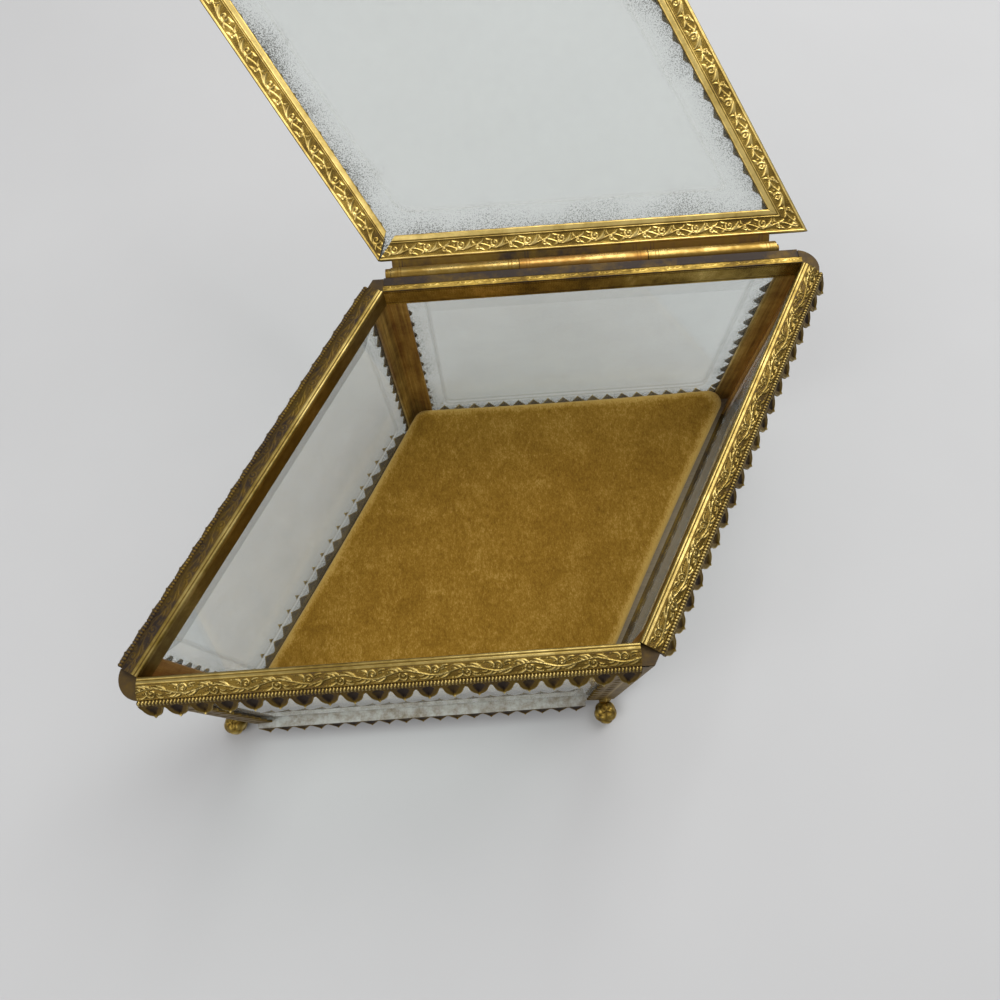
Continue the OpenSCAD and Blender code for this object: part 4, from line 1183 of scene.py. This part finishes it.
class CASKET_OT_fittings(bpy.types.Operator):
    """Dresses the wall panes and the hinge"""

    bl_idname = "casket.fittings"
    bl_label = "Panes and Hinge"

    def execute(self, context):
        """Gives the carried-over nodes their finishes."""
        _, finish, _ = settings()
        for side, name in enumerate(SIDE_NAMES):
            pane = glass("glass " + name, finish, wall_distances(side), 0.65)
            dress("pane_" + name, pane)
        hinge = {"tone": 0.5, "stretch": (0.12, 1, 1), "hinge": True}
        worn = brass("hinge brass", finish, polish=0.8, red=0.15, grime=0.7, bump=0.3, **hinge)
        middle = brass("middle knuckle brass", finish, polish=0.7, red=0.45, grime=0.75, **hinge)
        dress("hinge_body_leaf", middle)
        dress("hinge_lid_leaf", worn)
        dress("hinge_pin", worn)
        return {"FINISHED"}


def camera_matrix(studio):
    """The camera's matrix: it looks along the heading and down, and turns about its view until its right
    edge rises by the roll."""
    c, s = np.cos(studio.down), np.sin(studio.down)
    view = np.array([np.sin(studio.heading) * c, np.cos(studio.heading) * c, -s])
    level = np.cross(view, [0, 0, 1])
    level /= np.linalg.norm(level)
    up = np.cross(level, view)
    tilt = np.sin(studio.roll) / up[2]
    flat = np.sqrt(1 - tilt ** 2)
    right, up = flat * level + tilt * up, flat * up - tilt * level
    matrix = np.eye(4)
    matrix[:3] = np.stack([right, up, -view, studio.eye], -1)
    return Matrix(matrix.tolist())


class CASKET_OT_studio(bpy.types.Operator):
    """Sets the pale tabletop, the soft lamps and the camera"""

    bl_idname = "casket.studio"
    bl_label = "Studio"

    def execute(self, context):
        """Makes the stage."""
        _, _, studio = settings()
        scene = context.scene
        scene.view_settings.view_transform = "Standard"
        mesh = bpy.data.meshes.new("tabletop")
        ends, below = np.linspace(-1.5, 1.5, 9), 0.00002
        x, y = np.meshgrid(ends, ends)
        mesh.from_pydata(points_at(x, y, -below).reshape(-1, 3), [], grid_faces(9, 9, False).tolist())
        mesh.materials.append(tabletop("tabletop", studio.floor))
        place_object("tabletop", mesh)
        for name, power, size, place in (("key", studio.key, 0.9, (0.42, 0.5, 0.95)),
                                         ("fill", studio.fill, 0.7, (-0.55, -0.45, 0.7))):
            lamp = bpy.data.lights.new(name, "AREA")
            lamp.energy, lamp.size = power, size
            holder = place_object(name, lamp)
            away = np.array(place) / np.linalg.norm(place)
            holder.location = place
            holder.rotation_euler = (np.arccos(away[2]), 0, np.arctan2(away[1], away[0]) + np.pi / 2)
        scene.world = bpy.data.worlds.new("room")
        graph = Graph(scene.world, "Generated")
        up = graph.add("SeparateXYZ", {0: graph.where}, "Z")
        sky = up.spread(-0.1, 1.0, 0, 1).ramp((0.0, (0.20, 0.20, 0.21)), (0.45, (0.36, 0.36, 0.37)),
                                              (1.0, (0.80, 0.80, 0.81)))
        light = graph.add("Background", {"Color": sky, "Strength": 0.7})
        wall = graph.add("Background", {"Color": BACKDROP, "Strength": 1.0})
        graph.finished(graph.blend(shown_rays(graph), light, wall), "World")
        camera = bpy.data.cameras.new("camera")
        camera.lens, camera.sensor_width, camera.clip_start = studio.lens, 36, 0.005
        scene.camera = place_object("camera", camera)
        scene.camera.matrix_world = camera_matrix(studio)
        return {"FINISHED"}


class CASKET_PT_panel(bpy.types.Panel):
    """Lists the casket's operators"""

    bl_idname = "CASKET_PT_panel"
    bl_label = "Glass Casket Box"
    bl_space_type = "VIEW_3D"
    bl_region_type = "UI"
    bl_category = "Casket"

    def draw(self, context):
        """One button for each piece or group, and the settings below."""
        for operator in OPERATORS:
            self.layout.operator(operator.bl_idname)
        for group in settings():
            box = self.layout.box()
            for key in group.__annotations__:
                box.prop(group, key)


OPERATORS = (CASKET_OT_rim, CASKET_OT_lid, CASKET_OT_posts, CASKET_OT_base, CASKET_OT_feet, CASKET_OT_pad,
             CASKET_OT_fittings, CASKET_OT_studio)
GROUPS = {"casket_sizes": CasketSizes, "casket_finish": CasketFinish, "casket_studio": CasketStudio}


def register():
    """Registers the settings, operators and panel."""
    for cls in (*GROUPS.values(), *OPERATORS, CASKET_PT_panel):
        bpy.utils.register_class(cls)
    for key, group in GROUPS.items():
        setattr(bpy.types.Scene, key, bpy.props.PointerProperty(type=group))


def unregister():
    """Takes them away again."""
    for key in GROUPS:
        delattr(bpy.types.Scene, key)
    for cls in (CASKET_PT_panel, *reversed(OPERATORS), *GROUPS.values()):
        bpy.utils.unregister_class(cls)


def main():
    """Builds the casket and its stage."""
    register()
    for operator in OPERATORS:
        group, name = operator.bl_idname.split(".")
        getattr(getattr(bpy.ops, group), name)()


if __name__ == "__main__":
    main()
